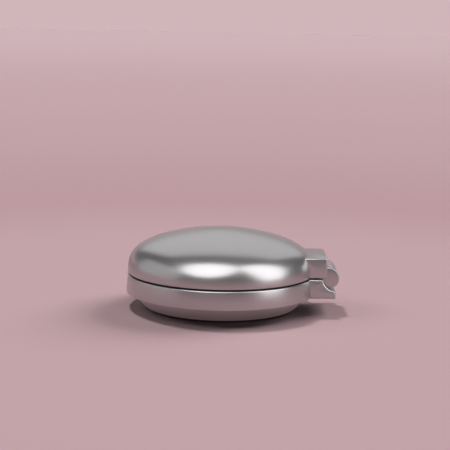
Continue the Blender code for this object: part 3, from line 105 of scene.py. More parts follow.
# Barrel hinge
HINGE_HALF_WIDTH = 21.5 * MM
BARREL_RADIUS = 7.8 * MM - SKIN_INSET
BARREL_HALF_WIDTH = 16.5 * MM
BARREL_EDGE = 0.6 * MM
BARREL_CAP = 1.0 * MM
CENTRE_KNUCKLE_HALF = 5.5 * MM
LID_KNUCKLE_INNER = 6.7 * MM
WEB_HALF = 5.0 * MM
PIN_RADIUS = 2.0 * MM
LID_BLOCK_REACH = HINGE_X - 1.4 * MM
LID_BLOCK_TOP = 41.1 * MM
BASE_BLOCK_REACH = HINGE_X + 5.1 * MM
BASE_BLOCK_BOTTOM = 11.0 * MM
BASE_BLOCK_TOP = 25.2 * MM
BLOCK_ROOT = 58.0 * MM
BLOCK_EDGE = 1.1 * MM
SCOOP_X = HINGE_X + 5.3 * MM
SCOOP_Z = HINGE_Z + 0.9 * MM
SCOOP_RADIUS = 9.8 * MM

# Underside; the screw head's curve has shares of its radius and rises from its crown
PAD_RADIUS = PAD_HIGH.x
PAD_RECESS_Z = PAD_HIGH.z + SEAT_GAP
PAD_EDGE = 0.75 * MM
PAD_GROOVES = 7
PAD_GROOVE_DEPTH = 0.4 * MM
SCREW_CIRCLE = 50.0 * MM
SCREW_ANGLES = (45.0, 135.0, 225.0, 315.0)
SCREW_RADIUS = 1.2 * MM
SCREW_HEAD_RADIUS = 2.6 * MM
SCREW_HEAD_LOW = 1.9 * MM
SCREW_HEAD_TOP = 3.5 * MM
SCREW_HEAD_CURVE = ((0.55, 0.08 * MM), (0.85, 0.26 * MM), (1.0, 0.5 * MM))
SCREW_TIP = 16.1 * MM
SCREW_CROSS_REACH = 1.5 * MM
SCREW_CROSS_HALF = 0.28 * MM
SCREW_CROSS_DEPTH = 0.9 * MM
BOSS_RADIUS = 5.0 * MM
BOSS_TOP_Z = 10.8 * MM

# Keys, slider, wheel and sockets in the rear of the band
KEY_ANGLES = {"skip_forward": 68.0, "play": 80.0, "stop": 92.0, "skip_back": 104.0}
KEY_Z = 18.6 * MM
KEY_WIDTH = 8.0 * MM
KEY_HEIGHT = 4.6 * MM
KEY_FACE = 70.364 * MM
KEY_BACK = 64.9 * MM
KEY_EDGE = 0.7 * MM
KEY_FLANGE_HALF = 0.5 * MM
ICON_DEPTH = 0.25 * MM
HOLD_ANGLE = 138.0
HOLD_WIDTH = 4.0 * MM
HOLD_HEIGHT = 3.0 * MM
HOLD_TRAVEL = 4.0 * MM
HOLD_FLANGE_HALF = 4.5 * MM
HOLD_GROOVE_PITCH = 1.0 * MM
HOLD_GROOVE_RADIUS = 0.3 * MM
WHEEL_ANGLE = 40.0
WHEEL_CIRCLE = 64.68 * MM
WHEEL_RADIUS = 6.0 * MM
WHEEL_BORE = 1.8 * MM
WHEEL_LOW = 15.6 * MM
WHEEL_HIGH = 18.4 * MM
WHEEL_NOTCHES = 48
WHEEL_NOTCH_DEPTH = 0.3 * MM
JACK_Z = 16.2 * MM
JACK_NOSE = 69.44 * MM
JACK_BODY_OUTER = 66.2 * MM
JACK_BODY_DEPTH = 12.0 * MM
JACK_BODY_HALF = 4.0 * MM
JACK_BODY_HALF_HEIGHT = 2.5 * MM
JACK_BORE_DEPTH = 10.0 * MM
JACK_EDGE = 0.25 * MM
HEADPHONE_ANGLE = 56.0
HEADPHONE_NOSE = 2.6 * MM
HEADPHONE_BORE = 1.8 * MM
DC_ANGLE = 120.0
DC_NOSE = 2.7 * MM
DC_BORE = 2.1 * MM
DC_PIN = 0.7 * MM
DC_PIN_SINK = 1.0 * MM
NOTCH_ANGLE = 165.0
NOTCH_RADIUS = 9.0 * MM
NOTCH_BITE = 1.2 * MM

# Disc well
DECK_TOP_Z = 21.0 * MM
DECK_BOTTOM_Z = 19.2 * MM
DECK_RIM_Z = 24.7 * MM
DECK_RIM_BOTTOM_Z = 23.2 * MM
DECK_RADIUS = 66.5 * MM
WELL_RADIUS = 61.5 * MM
WELL_WALL = 1.5 * MM
WELL_EDGE = 0.7 * MM
RING_GROOVES = (24.0 * MM, 46.0 * MM)
RING_GROOVE_WIDTH = 0.8 * MM
RING_GROOVE_DEPTH = 0.3 * MM
HUB_HOLE_RADIUS = 16.0 * MM
SLOT_END = 60.4 * MM
SLOT_HALF_WIDTH = 9.0 * MM
TAB_RADIUS = 64.75 * MM
TAB_HALF_WIDTH = 2.0 * MM
TAB_HALF_THICKNESS = 0.4 * MM
TAB_BOTTOM_Z = 19.9 * MM
TAB_SLOT_GAP = 0.6 * MM
CATCH_CIRCLE = 64.0 * MM
CATCH_ANGLE = 160.0
MAGNET_RADIUS = 1.6 * MM
MAGNET_EDGE = 0.2 * MM
BAY_HALF_LENGTH = 23.45 * MM
BAY_INNER_Y = -20.5 * MM
BAY_OUTER_Y = -42.4 * MM
BAY_FLOOR_Z = 7.9 * MM
BAY_WALL = 1.2 * MM
DOOR_AXIS_Y = -21.55 * MM
DOOR_AXIS_Z = 20.25 * MM
DOOR_HALF_THICKNESS = 0.75 * MM
DOOR_PIN_RADIUS = 0.45 * MM
DOOR_PIN_REACH = 1.1 * MM
DOOR_THUMB_RADIUS = 5.0 * MM
DOOR_THUMB_BITE = 2.0 * MM
DOOR_GRIPS = 4
DOOR_GRIP_START = 3.2 * MM
DOOR_GRIP_PITCH = 1.3 * MM
DOOR_GRIP_HALF = 6.0 * MM
DOOR_GRIP_RADIUS = 0.45 * MM
DOOR_GRIP_LIFT = 0.2 * MM
CELL_RADIUS = 5.25 * MM
CELL_HALF_LENGTH = 22.25 * MM
CELL_NUB_RADIUS = 1.9 * MM
CELL_NUB_LENGTH = 0.8 * MM
CELL_EDGE = 0.5 * MM

# Disc drive
HUB_SHAFT_Z = 10.4 * MM
HUB_BOSS_Z = 18.7 * MM
HUB_SEAT_Z = 23.3 * MM
HUB_SEAT_LOW = 21.3 * MM
HUB_TOP_Z = 26.4 * MM
HUB_SHAFT_RADIUS = 1.0 * MM
HUB_BOSS_RADIUS = 5.0 * MM
HUB_FLANGE_RADIUS = 14.5 * MM
HUB_NOSE_RADIUS = 7.3 * MM
HUB_EDGE = 0.5 * MM
HUB_RINGS = (12.6 * MM, 10.6 * MM, 8.6 * MM)
HUB_DIMPLE_TOP = 3.0 * MM
HUB_DIMPLE_FLOOR = 2.4 * MM
CHUCK_BALL_CIRCLE = 6.5 * MM
CHUCK_BALL_Z = 24.6 * MM
CHUCK_BALL_RADIUS = 1.2 * MM
CHUCK_BALL_ANGLES = (90.0, 210.0, 330.0)
LENS_X = -24.0 * MM
LENS_TOP_Z = 19.7 * MM
LENS_RADIUS = 1.6 * MM
LENS_SINK = 0.8 * MM
LENS_CROWN = 0.5 * MM
LENS_CROWN_SHARE = 0.9
LENS_STEPS = 8
THREAD_PITCH = 3.0 * MM
THREAD_DEPTH = 0.22 * MM
THREAD_FACETS = 16

# Lining of the lid
LINER_Z = 26.4 * MM
LINER_RADIUS = RIM_RADIUS - LID_WALL - SEAT_GAP
LINER_HEIGHT = DOME_HEIGHT - LID_WALL - SEAT_GAP
LINER_WALL = 1.6 * MM
LINER_FLANGE_WIDTH = 4.9 * MM
LINER_FLANGE_Z = 28.2 * MM
LINER_STEPS = 30

# The photograph's viewpoint: metres, radians, and millimetres for lens and sensor
CAMERA_PLACE = (0.00268, -0.91756, 0.20692)
CAMERA_TILT = 0.1576
CAMERA_ROLL = 0.0201
CAMERA_LENS = 100.0
CAMERA_SENSOR = 36.0

# Studio: colours are linear; the floor's colour runs with the distance from the case axis in metres, darker
# near 0.57 m and lighter far off, a painted falloff of light
FLOOR_COLOUR = (0.54, 0.368, 0.393)
BACKDROP_COLOUR = (0.636, 0.464, 0.493)
FLOOR_PAINTED_FALLOFF = (
    (0.0, FLOOR_COLOUR), (0.3, FLOOR_COLOUR), (0.57, (0.5, 0.32, 0.346)), (1.2, (0.53, 0.36, 0.386)),
    (2.2, (0.56, 0.386, 0.413)), (7.0, (0.61, 0.436, 0.465)), (14.0, BACKDROP_COLOUR),
)
FLOOR_HALF = 40.0
ROOM_COLOUR = (1.0, 0.97, 0.98)
ROOM_LIGHT = 0.02

# What the metal mirrors: a painted reflection, the floor glowing by shares of its colour by that distance,
# low under the case as painted shade, and that glow's share; the room's level, and the limits of a
# direction's Y and Z between which the backdrop comes in
PAINTED_FLOOR_REFLECTION = (
    (0.0, 0.3), (0.056, 0.4), (0.066, 0.86), (0.12, 0.78), (0.22, 0.78), (0.4, 0.34), (1.0, 0.14),
)
PAINTED_REFLECTION_SHARE = 0.5
ROOM_MIRRORED = 0.14
BACKDROP_REAR = (0.45, 0.85)
BACKDROP_LOW = (0.28, 0.05)

# The span that a noise value mostly fills
NOISE_LOW = 0.3
NOISE_HIGH = 0.7


def new_object(name, bm):
    """Link a bmesh as an object with its faces pointing out."""
    bmesh.ops.recalc_face_normals(bm, faces=bm.faces)
    mesh = bpy.data.meshes.new(name)
    bm.to_mesh(mesh)
    bm.free()
    item = bpy.data.objects.new(name, mesh)
    bpy.context.scene.collection.objects.link(item)
    return item


def turned(name, profile, segments=CASE_SEGMENTS, ring=False):
    """Spin a profile of (radius, z) points about Z; a ring's profile closes on itself."""
    bm = bmesh.new()
    points = [bm.verts.new((radius, 0.0, z)) for radius, z in profile]
    pairs = list(zip(points, points[1:]))
    if ring:
        pairs.append((points[-1], points[0]))
    edges = [bm.edges.new(pair) for pair in pairs]
    bmesh.ops.spin(
        bm, geom=points + edges, cent=(0, 0, 0), axis=(0, 0, 1),
        angle=2 * math.pi, steps=segments, use_merge=True,
    )
    bmesh.ops.remove_doubles(bm, verts=bm.verts, dist=1e-7)
    return new_object(name, bm)


def round_edges(bm, edges, radius):
    """Round some edges of a bmesh."""
    bmesh.ops.bevel(bm, geom=edges, offset=radius, segments=EDGE_STEPS, profile=0.5, affect="EDGES")


def cylinder(name, radius, start, end, segments=SMALL_SEGMENTS, edge=0.0):
    """A round rod between two points, with rounded ends."""
    start = Vector(start)
    along = Vector(end) - start
    place = Matrix.Translation(start + along / 2) @ along.to_track_quat("Z", "Y").to_matrix().to_4x4()
    bm = bmesh.new()
    bmesh.ops.create_cone(
        bm, cap_ends=True, segments=segments, radius1=radius, radius2=radius,
        depth=along.length, matrix=place,
    )
    if edge > 0:
        caps = [face for face in bm.faces if len(face.verts) == segments]
        round_edges(bm, list({rim for face in caps for rim in face.edges}), edge)
    return new_object(name, bm)


def box(name, low, high, edge=0.0):
    """A box between two corners, with rounded edges."""
    low = Vector(low)
    high = Vector(high)
    bm = bmesh.new()
    bmesh.ops.create_cube(bm, size=1.0)
    bmesh.ops.scale(bm, vec=high - low, verts=bm.verts)
    bmesh.ops.translate(bm, vec=(low + high) / 2, verts=bm.verts)
    if edge > 0:
        round_edges(bm, list(bm.edges), edge)
    return new_object(name, bm)


def combine(item, tool, operation):
    """Join a tool solid to an object, or cut it away, and drop the tool."""
    modifier = item.modifiers.new("combine", "BOOLEAN")
    modifier.operation = operation
    modifier.solver = "EXACT"
    modifier.object = tool
    graph = bpy.context.evaluated_depsgraph_get()
    mesh = bpy.data.meshes.new_from_object(item.evaluated_get(graph))
    item.modifiers.clear()
    item.data = mesh
    bpy.data.objects.remove(tool, do_unlink=True)


def join(item, tool):
    """Add a tool solid to an object."""
    combine(item, tool, "UNION")


def cut(item, tool):
    """Take a tool solid away from an object."""
    combine(item, tool, "DIFFERENCE")


def spin_place(item, degrees):
    """Turn an object's mesh about the case axis."""
    item.data.transform(Matrix.Rotation(math.radians(degrees), 4, "Z"))
    return item


def on_circle(radius, degrees, z=0.0):
    """A point at an angle on a circle round the case axis."""
    angle = math.radians(degrees)
    return Vector((radius * math.cos(angle), radius * math.sin(angle), z))


def arc(centre, radius, start, end, steps):
    """Points along an arc, with angles in degrees from +X towards +Z."""
    points = []
    for step in range(steps + 1):
        angle = math.radians(start + (end - start) * step / steps)
        points.append((centre[0] + radius * math.cos(angle), centre[1] + radius * math.sin(angle)))
    return points


def prism(name, outline, start, end, edge=0.0):
    """An outline of (x, z) points drawn out along Y, with its sharp edges rounded."""
    bm = bmesh.new()
    face = bm.faces.new([bm.verts.new((x, start, z)) for x, z in outline])
    drawn = bmesh.ops.extrude_face_region(bm, geom=[face])["geom"]
    far_points = [part for part in drawn if isinstance(part, bmesh.types.BMVert)]
    bmesh.ops.translate(bm, vec=(0, end - start, 0), verts=far_points)
    bmesh.ops.recalc_face_normals(bm, faces=bm.faces)
    if edge > 0:
        round_edges(bm, [rim for rim in bm.edges if rim.calc_face_angle() > SHARP_ANGLE], edge)
    return new_object(name, bm)


def moved(item, place):
    """Shift an object's mesh."""
    item.data.transform(Matrix.Translation(place))
    return item


def dress(item, body, slot, *replaced):
    """Shade a piece, give it its slot's material, tie it to its body and hide the nodes it stands for."""
    item.data.materials.clear()
    item.data.materials.append(SLOTS[slot])
    item.data.shade_smooth()
    item.data.set_sharp_from_angle(angle=SHARP_ANGLE)
    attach(item, body)
    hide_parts(*replaced)


def new_material(name, colour, roughness, metallic=0.0):
    """A Principled material; returns it with its tree and its shader."""
    material = bpy.data.materials.new(name)
    material.use_nodes = True
    tree = material.node_tree
    shader = tree.nodes["Principled BSDF"]
    shader.inputs["Base Color"].default_value = (*colour, 1.0)
    shader.inputs["Roughness"].default_value = roughness
    shader.inputs["Metallic"].default_value = metallic
    material.diffuse_color = (*colour, 1.0)
    return material, tree, shader


def noise(tree, scale, detail=4.0, stretch=(1.0, 1.0, 1.0)):
    """A noise value in the object's own metres."""
    place = tree.nodes.new("ShaderNodeTexCoord")
    mapping = tree.nodes.new("ShaderNodeMapping")
    mapping.inputs["Scale"].default_value = stretch
    texture = tree.nodes.new("ShaderNodeTexNoise")
    texture.inputs["Scale"].default_value = scale
    texture.inputs["Detail"].default_value = detail
    tree.links.new(place.outputs["Object"], mapping.inputs["Vector"])
    tree.links.new(mapping.outputs["Vector"], texture.inputs["Vector"])
    return texture.outputs["Fac"]


def vary_colour(tree, shader, value, low, high):
    """Let the base colour run between two colours with a value."""
    ramp = tree.nodes.new("ShaderNodeValToRGB")
    ramp.color_ramp.elements[0].position = NOISE_LOW
    ramp.color_ramp.elements[0].color = (*low, 1.0)
    ramp.color_ramp.elements[1].position = NOISE_HIGH
    ramp.color_ramp.elements[1].color = (*high, 1.0)
    tree.links.new(value, ramp.inputs["Fac"])
    tree.links.new(ramp.outputs["Color"], shader.inputs["Base Color"])


def vary_roughness(tree, shader, value, low, high):
    """Let the roughness run between two values."""
    span = tree.nodes.new("ShaderNodeMapRange")
    span.inputs["From Min"].default_value = NOISE_LOW
    span.inputs["From Max"].default_value = NOISE_HIGH
    span.inputs["To Min"].default_value = low
    span.inputs["To Max"].default_value = high
    tree.links.new(value, span.inputs["Value"])
    tree.links.new(span.outputs["Result"], shader.inputs["Roughness"])


def add_bump(tree, shader, value, depth, strength):
    """Raise the surface with a value."""
    bump = tree.nodes.new("ShaderNodeBump")
    bump.inputs["Strength"].default_value = strength
    bump.inputs["Distance"].default_value = depth
    tree.links.new(value, bump.inputs["Height"])
    tree.links.new(bump.outputs["Normal"], shader.inputs["Normal"])


def satin_aluminium():
    """Blasted and clear-anodised case metal, with soft clouds in its colour and gloss."""
    material, tree, shader = new_material("satin_aluminium", (0.57, 0.555, 0.565), 0.29, 1.0)
    cloud = noise(tree, 28.0, 1.0)
    vary_colour(tree, shader, cloud, (0.555, 0.54, 0.55), (0.585, 0.57, 0.58))
    vary_roughness(tree, shader, cloud, 0.28, 0.305)
    return material


def bright_steel():
    """Turned steel with fine marks."""
    material, tree, shader = new_material("bright_steel", (0.6, 0.6, 0.61), 0.25, 1.0)
    marks = noise(tree, 900.0, 3.0, (1.0, 1.0, 6.0))
    vary_colour(tree, shader, marks, (0.56, 0.56, 0.57), (0.64, 0.64, 0.65))
    vary_roughness(tree, shader, marks, 0.2, 0.32)
    add_bump(tree, shader, marks, 0.02 * MM, 0.15)
    return material


def black_rubber():
    """Matte rubber with a fine tooth."""
    material, tree, shader = new_material("black_rubber", (0.015, 0.015, 0.016), 0.8)
    tooth = noise(tree, 1500.0, 4.0)
    vary_colour(tree, shader, tooth, (0.012, 0.012, 0.013), (0.02, 0.02, 0.021))
    vary_roughness(tree, shader, tooth, 0.74, 0.9)
    add_bump(tree, shader, tooth, 0.05 * MM, 0.4)
    return material


def moulded_plastic(name, colour, roughness):
    """Plastic with the fine spark grain of a mould."""
    material, tree, shader = new_material(name, colour, roughness)
    grain = noise(tree, 1800.0, 5.0)
    cloud = noise(tree, 90.0, 2.0)
    low = tuple(0.88 * part for part in colour)
    high = tuple(1.12 * part for part in colour)
    vary_colour(tree, shader, cloud, low, high)
    vary_roughness(tree, shader, grain, roughness - 0.06, roughness + 0.06)
    add_bump(tree, shader, grain, 0.04 * MM, 0.3)
    return material


def board_laminate():
    """Lacquered circuit board with a faint pattern of tracks."""
    material, tree, shader = new_material("board_laminate", (0.02, 0.12, 0.05), 0.4)
    place = tree.nodes.new("ShaderNodeTexCoord")
    tracks = tree.nodes.new("ShaderNodeTexBrick")
    tracks.inputs["Scale"].default_value = 260.0
    tracks.inputs["Mortar Size"].default_value = 0.03
    tree.links.new(place.outputs["Object"], tracks.inputs["Vector"])
    vary_colour(tree, shader, tracks.outputs["Fac"], (0.018, 0.11, 0.045), (0.03, 0.17, 0.07))
    add_bump(tree, shader, tracks.outputs["Fac"], 0.05 * MM, 0.4)
    return material


def cell_jacket():
    """Plain metal jacket of a battery cell."""
    material, tree, shader = new_material("cell_jacket", (0.45, 0.45, 0.47), 0.35, 1.0)
    marks = noise(tree, 400.0, 3.0, (6.0, 1.0, 1.0))
    vary_colour(tree, shader, marks, (0.42, 0.42, 0.44), (0.48, 0.48, 0.5))
    vary_roughness(tree, shader, marks, 0.3, 0.4)
    return material


def lens_glass():
    """Coated glass of the objective lens."""
    material, tree, shader = new_material("lens_glass", (0.25, 0.3, 0.5), 0.05)
    shader.inputs["Coat Weight"].default_value = 1.0
    tint = noise(tree, 500.0, 1.0)
    vary_colour(tree, shader, tint, (0.2, 0.24, 0.46), (0.3, 0.36, 0.54))
    return material


def dome_point(radius, height, angle):
    """A point of the flattened dome at an angle from its foot."""
    reach = math.cos(angle) ** (2 / DOME_CROWN_POWER)
    lift = math.sin(angle) ** (2 / DOME_FLANK_POWER)
    return radius * reach, GAP_Z + height * lift


def dome_curve(radius, height, start_z, steps):
    """The dome's outline from start_z to its crown, in even steps, with a round crown."""
    start = math.asin((max(start_z - GAP_Z, 0.0) / height) ** (DOME_FLANK_POWER / 2))
    fine = DOME_FINENESS * steps
    walk = [dome_point(radius, height, start + (math.pi / 2 - start) * i / fine) for i in range(fine + 1)]
    flank = [point for point in walk if point[0] >= CROWN_BLEND]
    lengths = [0.0]
    for a, b in zip(flank, flank[1:]):
        lengths.append(lengths[-1] + math.dist(a, b))
    points = []
    index = 0
    for step in range(steps + 1):
        target = lengths[-1] * step / steps
        while index < len(lengths) - 1 and lengths[index] < target:
            index += 1
        points.append(flank[index])
    edge_r, edge_z = points[-1]
    slope = (flank[-2][1] - flank[-1][1]) / (flank[-1][0] - flank[-2][0])
    for share in CROWN_SHARES:
        r = edge_r * share
        points.append((r, edge_z + slope * (edge_r ** 2 - r ** 2) / (2 * edge_r)))
    return points


def hinge_rod(name, radius, start_y, end_y, edge=0.0):
    """A rod on the hinge axis."""
    start = (HINGE_X, start_y, HINGE_Z)
    return cylinder(name, radius, start, (HINGE_X, end_y, HINGE_Z), ROUND_SEGMENTS, edge)


def lid_case():
    """The domed lid with the hinge's upper block and its two outer knuckles."""
    foot = arc((RIM_RADIUS - LID_EDGE, LID_Z + LID_EDGE), LID_EDGE, -90, 0, 4)
    outer = [(0.0, LID_Z)] + foot[:-1] + dome_curve(RIM_RADIUS, DOME_HEIGHT, LID_Z + LID_EDGE, DOME_STEPS)
    shell = turned("lid_case", outer)
    join(shell, box(
        "block", (BLOCK_ROOT, -HINGE_HALF_WIDTH, LID_Z),
        (LID_BLOCK_REACH, HINGE_HALF_WIDTH, LID_BLOCK_TOP), BLOCK_EDGE,
    ))
    cut(shell, hinge_rod("relief", BARREL_RADIUS + HINGE_GAP, -LID_KNUCKLE_INNER, LID_KNUCKLE_INNER))
    for side in (-1, 1):
        ends = side * LID_KNUCKLE_INNER, side * BARREL_HALF_WIDTH
        join(shell, hinge_rod("knuckle", BARREL_RADIUS, *ends, BARREL_EDGE))
    bore_end = BARREL_HALF_WIDTH - BARREL_CAP
    cut(shell, hinge_rod("pin_bore", PIN_RADIUS + SEAT_GAP, -bore_end, bore_end))
    inner_radius = RIM_RADIUS - LID_WALL
    inner = [(0.0, LID_Z - CUT_MARGIN), (inner_radius, LID_Z - CUT_MARGIN)]
    inner += dome_curve(inner_radius, DOME_HEIGHT - LID_WALL, LID_Z, DOME_STEPS // 2)
    cut(shell, turned("hollow", inner))
    dress(shell, "lid", "satin_aluminium", "lid_shell")


def hinge_pin():
    """The steel pin in the capped knuckles."""
    end = BARREL_HALF_WIDTH - BARREL_CAP - SEAT_GAP
    dress(hinge_rod("pin", PIN_RADIUS, -end, end, SMALL_EDGE), "base", "bright_steel", "hinge_pin")


def bowl_wall(inset, bottom_z, top_z, steps=10):
    """The bulging wall of the bowl, moved in by inset, from its foot to the band."""
    foot = BOWL_FLOOR_RADIUS - inset
    head = BOWL_TOP_RADIUS - inset
    points = []
    for step in range(steps + 1):
        share = step / steps
        bulge = BOWL_BULGE * 4 * share * (1 - share)
        points.append((foot + (head - foot) * share + bulge, bottom_z + (top_z - bottom_z) * share))
    return points


def base_block():
    """The hinge's lower block, scooped out below the barrel."""
    side_z = SCOOP_Z - math.sqrt(SCOOP_RADIUS ** 2 - (SCOOP_X - BASE_BLOCK_REACH) ** 2)
    top_x = SCOOP_X - math.sqrt(SCOOP_RADIUS ** 2 - (SCOOP_Z - BASE_BLOCK_TOP) ** 2)
    low = math.degrees(math.atan2(side_z - SCOOP_Z, BASE_BLOCK_REACH - SCOOP_X))
    high = math.degrees(math.atan2(BASE_BLOCK_TOP - SCOOP_Z, top_x - SCOOP_X))
    outline = [(BLOCK_ROOT, BASE_BLOCK_BOTTOM), (BASE_BLOCK_REACH, BASE_BLOCK_BOTTOM)]
    outline += arc((SCOOP_X, SCOOP_Z), SCOOP_RADIUS, low, high, 20)
    outline.append((BLOCK_ROOT, BASE_BLOCK_TOP))
    return prism("block", outline, -HINGE_HALF_WIDTH, HINGE_HALF_WIDTH, BLOCK_EDGE)


def base_case():
    """The bowl with the flat band round it and the hinge's lower block and centre knuckle."""
    outer = [(0.0, BOWL_Z)] + bowl_wall(0.0, BOWL_Z, BAND_Z)
    outer += arc((CASE_RADIUS - BAND_EDGE, BAND_Z + BAND_EDGE), BAND_EDGE, -90, 0, 4)
    outer += arc((RIM_RADIUS - BAND_EDGE, RIM_Z - BAND_EDGE), BAND_EDGE, 0, 90, 4)
    outer.append((0.0, RIM_Z))
    shell = turned("base_case", outer)
    join(shell, base_block())
    relief_end = BARREL_HALF_WIDTH + SEAT_GAP
    cut(shell, hinge_rod("relief", BARREL_RADIUS + HINGE_GAP, -relief_end, relief_end))
    join(shell, hinge_rod("knuckle", BARREL_RADIUS, -CENTRE_KNUCKLE_HALF, CENTRE_KNUCKLE_HALF, BARREL_EDGE))
    web_z = HINGE_Z - BARREL_RADIUS - HINGE_GAP - CUT_MARGIN
    web_corner = HINGE_X, WEB_HALF, BASE_BLOCK_TOP - BLOCK_EDGE
    join(shell, box("web", (BLOCK_ROOT, -WEB_HALF, web_z), web_corner))
    cut(shell, hinge_rod("pin_bore", PIN_RADIUS + SEAT_GAP, -relief_end, relief_end))
    inner = [(0.0, BOWL_Z + CASE_WALL)] + bowl_wall(CASE_WALL, BOWL_Z + CASE_WALL, BAND_Z + CASE_WALL)
    inner += [
        (BAND_INNER_RADIUS, BAND_Z + CASE_WALL), (BAND_INNER_RADIUS, RIM_Z + CUT_MARGIN),
        (0.0, RIM_Z + CUT_MARGIN),
    ]
    cut(shell, turned("hollow", inner))
    cut_underside(shell)
    cut_band(shell)
    dress(shell, "base", "satin_aluminium", "base_shell")


def cut_underside(shell):
    """The pad's recess, and the screw bosses with their holes and counterbores."""
    below = BOWL_Z - CUT_MARGIN
    recess_top = 0, 0, PAD_RECESS_Z
    cut(shell, cylinder("recess", PAD_RADIUS + SEAT_GAP, (0, 0, below), recess_top, CASE_SEGMENTS))
    for angle in SCREW_ANGLES:
        foot = on_circle(SCREW_CIRCLE, angle, BOWL_Z + CASE_WALL / 2)
        join(shell, cylinder("boss", BOSS_RADIUS, foot, on_circle(SCREW_CIRCLE, angle, BOSS_TOP_Z)))
        low = on_circle(SCREW_CIRCLE, angle, below)
        high = on_circle(SCREW_CIRCLE, angle, BOSS_TOP_Z + CUT_MARGIN)
        cut(shell, cylinder("hole", SCREW_RADIUS + SEAT_GAP, low, high))
        seat = on_circle(SCREW_CIRCLE, angle, SCREW_HEAD_TOP + SEAT_GAP)
        cut(shell, cylinder("counterbore", SCREW_HEAD_RADIUS + SEAT_GAP, low, seat))


def band_window(half_width, half_height):
    """A cutter through the band at +X, at the height of the keys."""
    low = BAND_INNER_RADIUS - 2 * CUT_MARGIN, -half_width, KEY_Z - half_height
    return box("window", low, (CASE_RADIUS + CUT_MARGIN, half_width, KEY_Z + half_height))


def cut_band(shell):
    """Windows for keys, slider and wheel, the sockets' holes and the thumb notch."""
    for angle in KEY_ANGLES.values():
        window = band_window(KEY_WIDTH / 2 + SEAT_GAP, KEY_HEIGHT / 2 + SEAT_GAP)
        cut(shell, spin_place(window, angle))
    hold_half = (HOLD_WIDTH + HOLD_TRAVEL) / 2 + SEAT_GAP
    cut(shell, spin_place(band_window(hold_half, HOLD_HEIGHT / 2 + SEAT_GAP), HOLD_ANGLE))
    low = on_circle(WHEEL_CIRCLE, WHEEL_ANGLE, WHEEL_LOW - SEAT_GAP)
    high = on_circle(WHEEL_CIRCLE, WHEEL_ANGLE, WHEEL_HIGH + SEAT_GAP)
    cut(shell, cylinder("wheel_slot", WHEEL_RADIUS + SEAT_GAP, low, high, ROUND_SEGMENTS))
    for angle, radius in ((HEADPHONE_ANGLE, HEADPHONE_NOSE), (DC_ANGLE, DC_NOSE)):
        start = on_circle(BAND_INNER_RADIUS - CUT_MARGIN, angle, JACK_Z)
        end = on_circle(CASE_RADIUS + CUT_MARGIN, angle, JACK_Z)
        cut(shell, cylinder("hole", radius + SEAT_GAP, start, end))
    bm = bmesh.new()
    centre = on_circle(RIM_RADIUS + NOTCH_RADIUS - NOTCH_BITE, NOTCH_ANGLE, RIM_Z)
    bmesh.ops.create_uvsphere(
        bm, u_segments=ROUND_SEGMENTS, v_segments=SMALL_SEGMENTS, radius=NOTCH_RADIUS,
        matrix=Matrix.Translation(centre),
    )
    cut(shell, new_object("notch", bm))


def rest_pad():
    """The rubber pad, with fine rings in its flat face."""
    profile = [(0.0, 0.0)]
    step = (PAD_RADIUS - PAD_EDGE) / (PAD_GROOVES + 1)
    for number in range(1, PAD_GROOVES + 1):
        near = number * step - PAD_GROOVE_DEPTH
        far = number * step + PAD_GROOVE_DEPTH
        profile += [(near, 0.0), (number * step, PAD_GROOVE_DEPTH), (far, 0.0)]
    profile += arc((PAD_RADIUS - PAD_EDGE, PAD_EDGE), PAD_EDGE, -90, 0, 6)
    profile += [(PAD_RADIUS, PAD_HIGH.z), (0.0, PAD_HIGH.z)]
    dress(turned("foot_pad", profile), "base", "black_rubber", "rest_pad")


def gasket():
    """The soft ring seen as the dark line under the lid."""
    low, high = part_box("rim_gasket")
    outer = high.x
    inner = outer - GASKET_WIDTH
    half = (high.z - low.z) / 2
    profile = arc((outer - half, low.z + half), half, -90, 90, 8) + [(inner, high.z), (inner, low.z)]
    dress(turned("seal", profile, ring=True), "base", "black_rubber", "rim_gasket")


def case_screws():
    """Domed screws with a cross recess."""
    profile = [(0.0, SCREW_HEAD_LOW)]
    profile += [(share * SCREW_HEAD_RADIUS, SCREW_HEAD_LOW + rise) for share, rise in SCREW_HEAD_CURVE]
    profile += [
        (SCREW_HEAD_RADIUS, SCREW_HEAD_TOP), (SCREW_RADIUS, SCREW_HEAD_TOP),
        (SCREW_RADIUS, SCREW_TIP), (0.0, SCREW_TIP),
    ]
    for number, angle in enumerate(SCREW_ANGLES, start=1):
        screw = turned(f"screw_{number}", profile, SMALL_SEGMENTS)
        for long, wide in ((SCREW_CROSS_REACH, SCREW_CROSS_HALF), (SCREW_CROSS_HALF, SCREW_CROSS_REACH)):
            low = -long, -wide, SCREW_HEAD_LOW - CUT_MARGIN
            cut(screw, box("cross", low, (long, wide, SCREW_HEAD_LOW + SCREW_CROSS_DEPTH)))
        moved(screw, on_circle(SCREW_CIRCLE, angle))
        dress(screw, "base", "bright_steel", f"case_screw_{number}")


def triangle(left, right, half):
    """A triangle of an icon that points from left to right."""
    return [(left, -half), (right, 0.0), (left, half)]


def bar(left, right, half):
    """An upright bar of an icon."""
    return [(left, -half), (right, -half), (right, half), (left, half)]


def icon_shapes(name):
    """The plain sign on a key, as outlines in millimetres."""
    shapes = {
        "play": [triangle(-1.0, 1.2, 1.2)],
        "stop": [bar(-1.0, 1.0, 1.0)],
        "skip_forward": [triangle(-1.6, -0.1, 1.0), triangle(0.0, 1.5, 1.0), bar(1.6, 2.0, 1.0)],
        "skip_back": [triangle(1.6, 0.1, 1.0), triangle(0.0, -1.5, 1.0), bar(-2.0, -1.6, 1.0)],
    }
    return shapes[name]


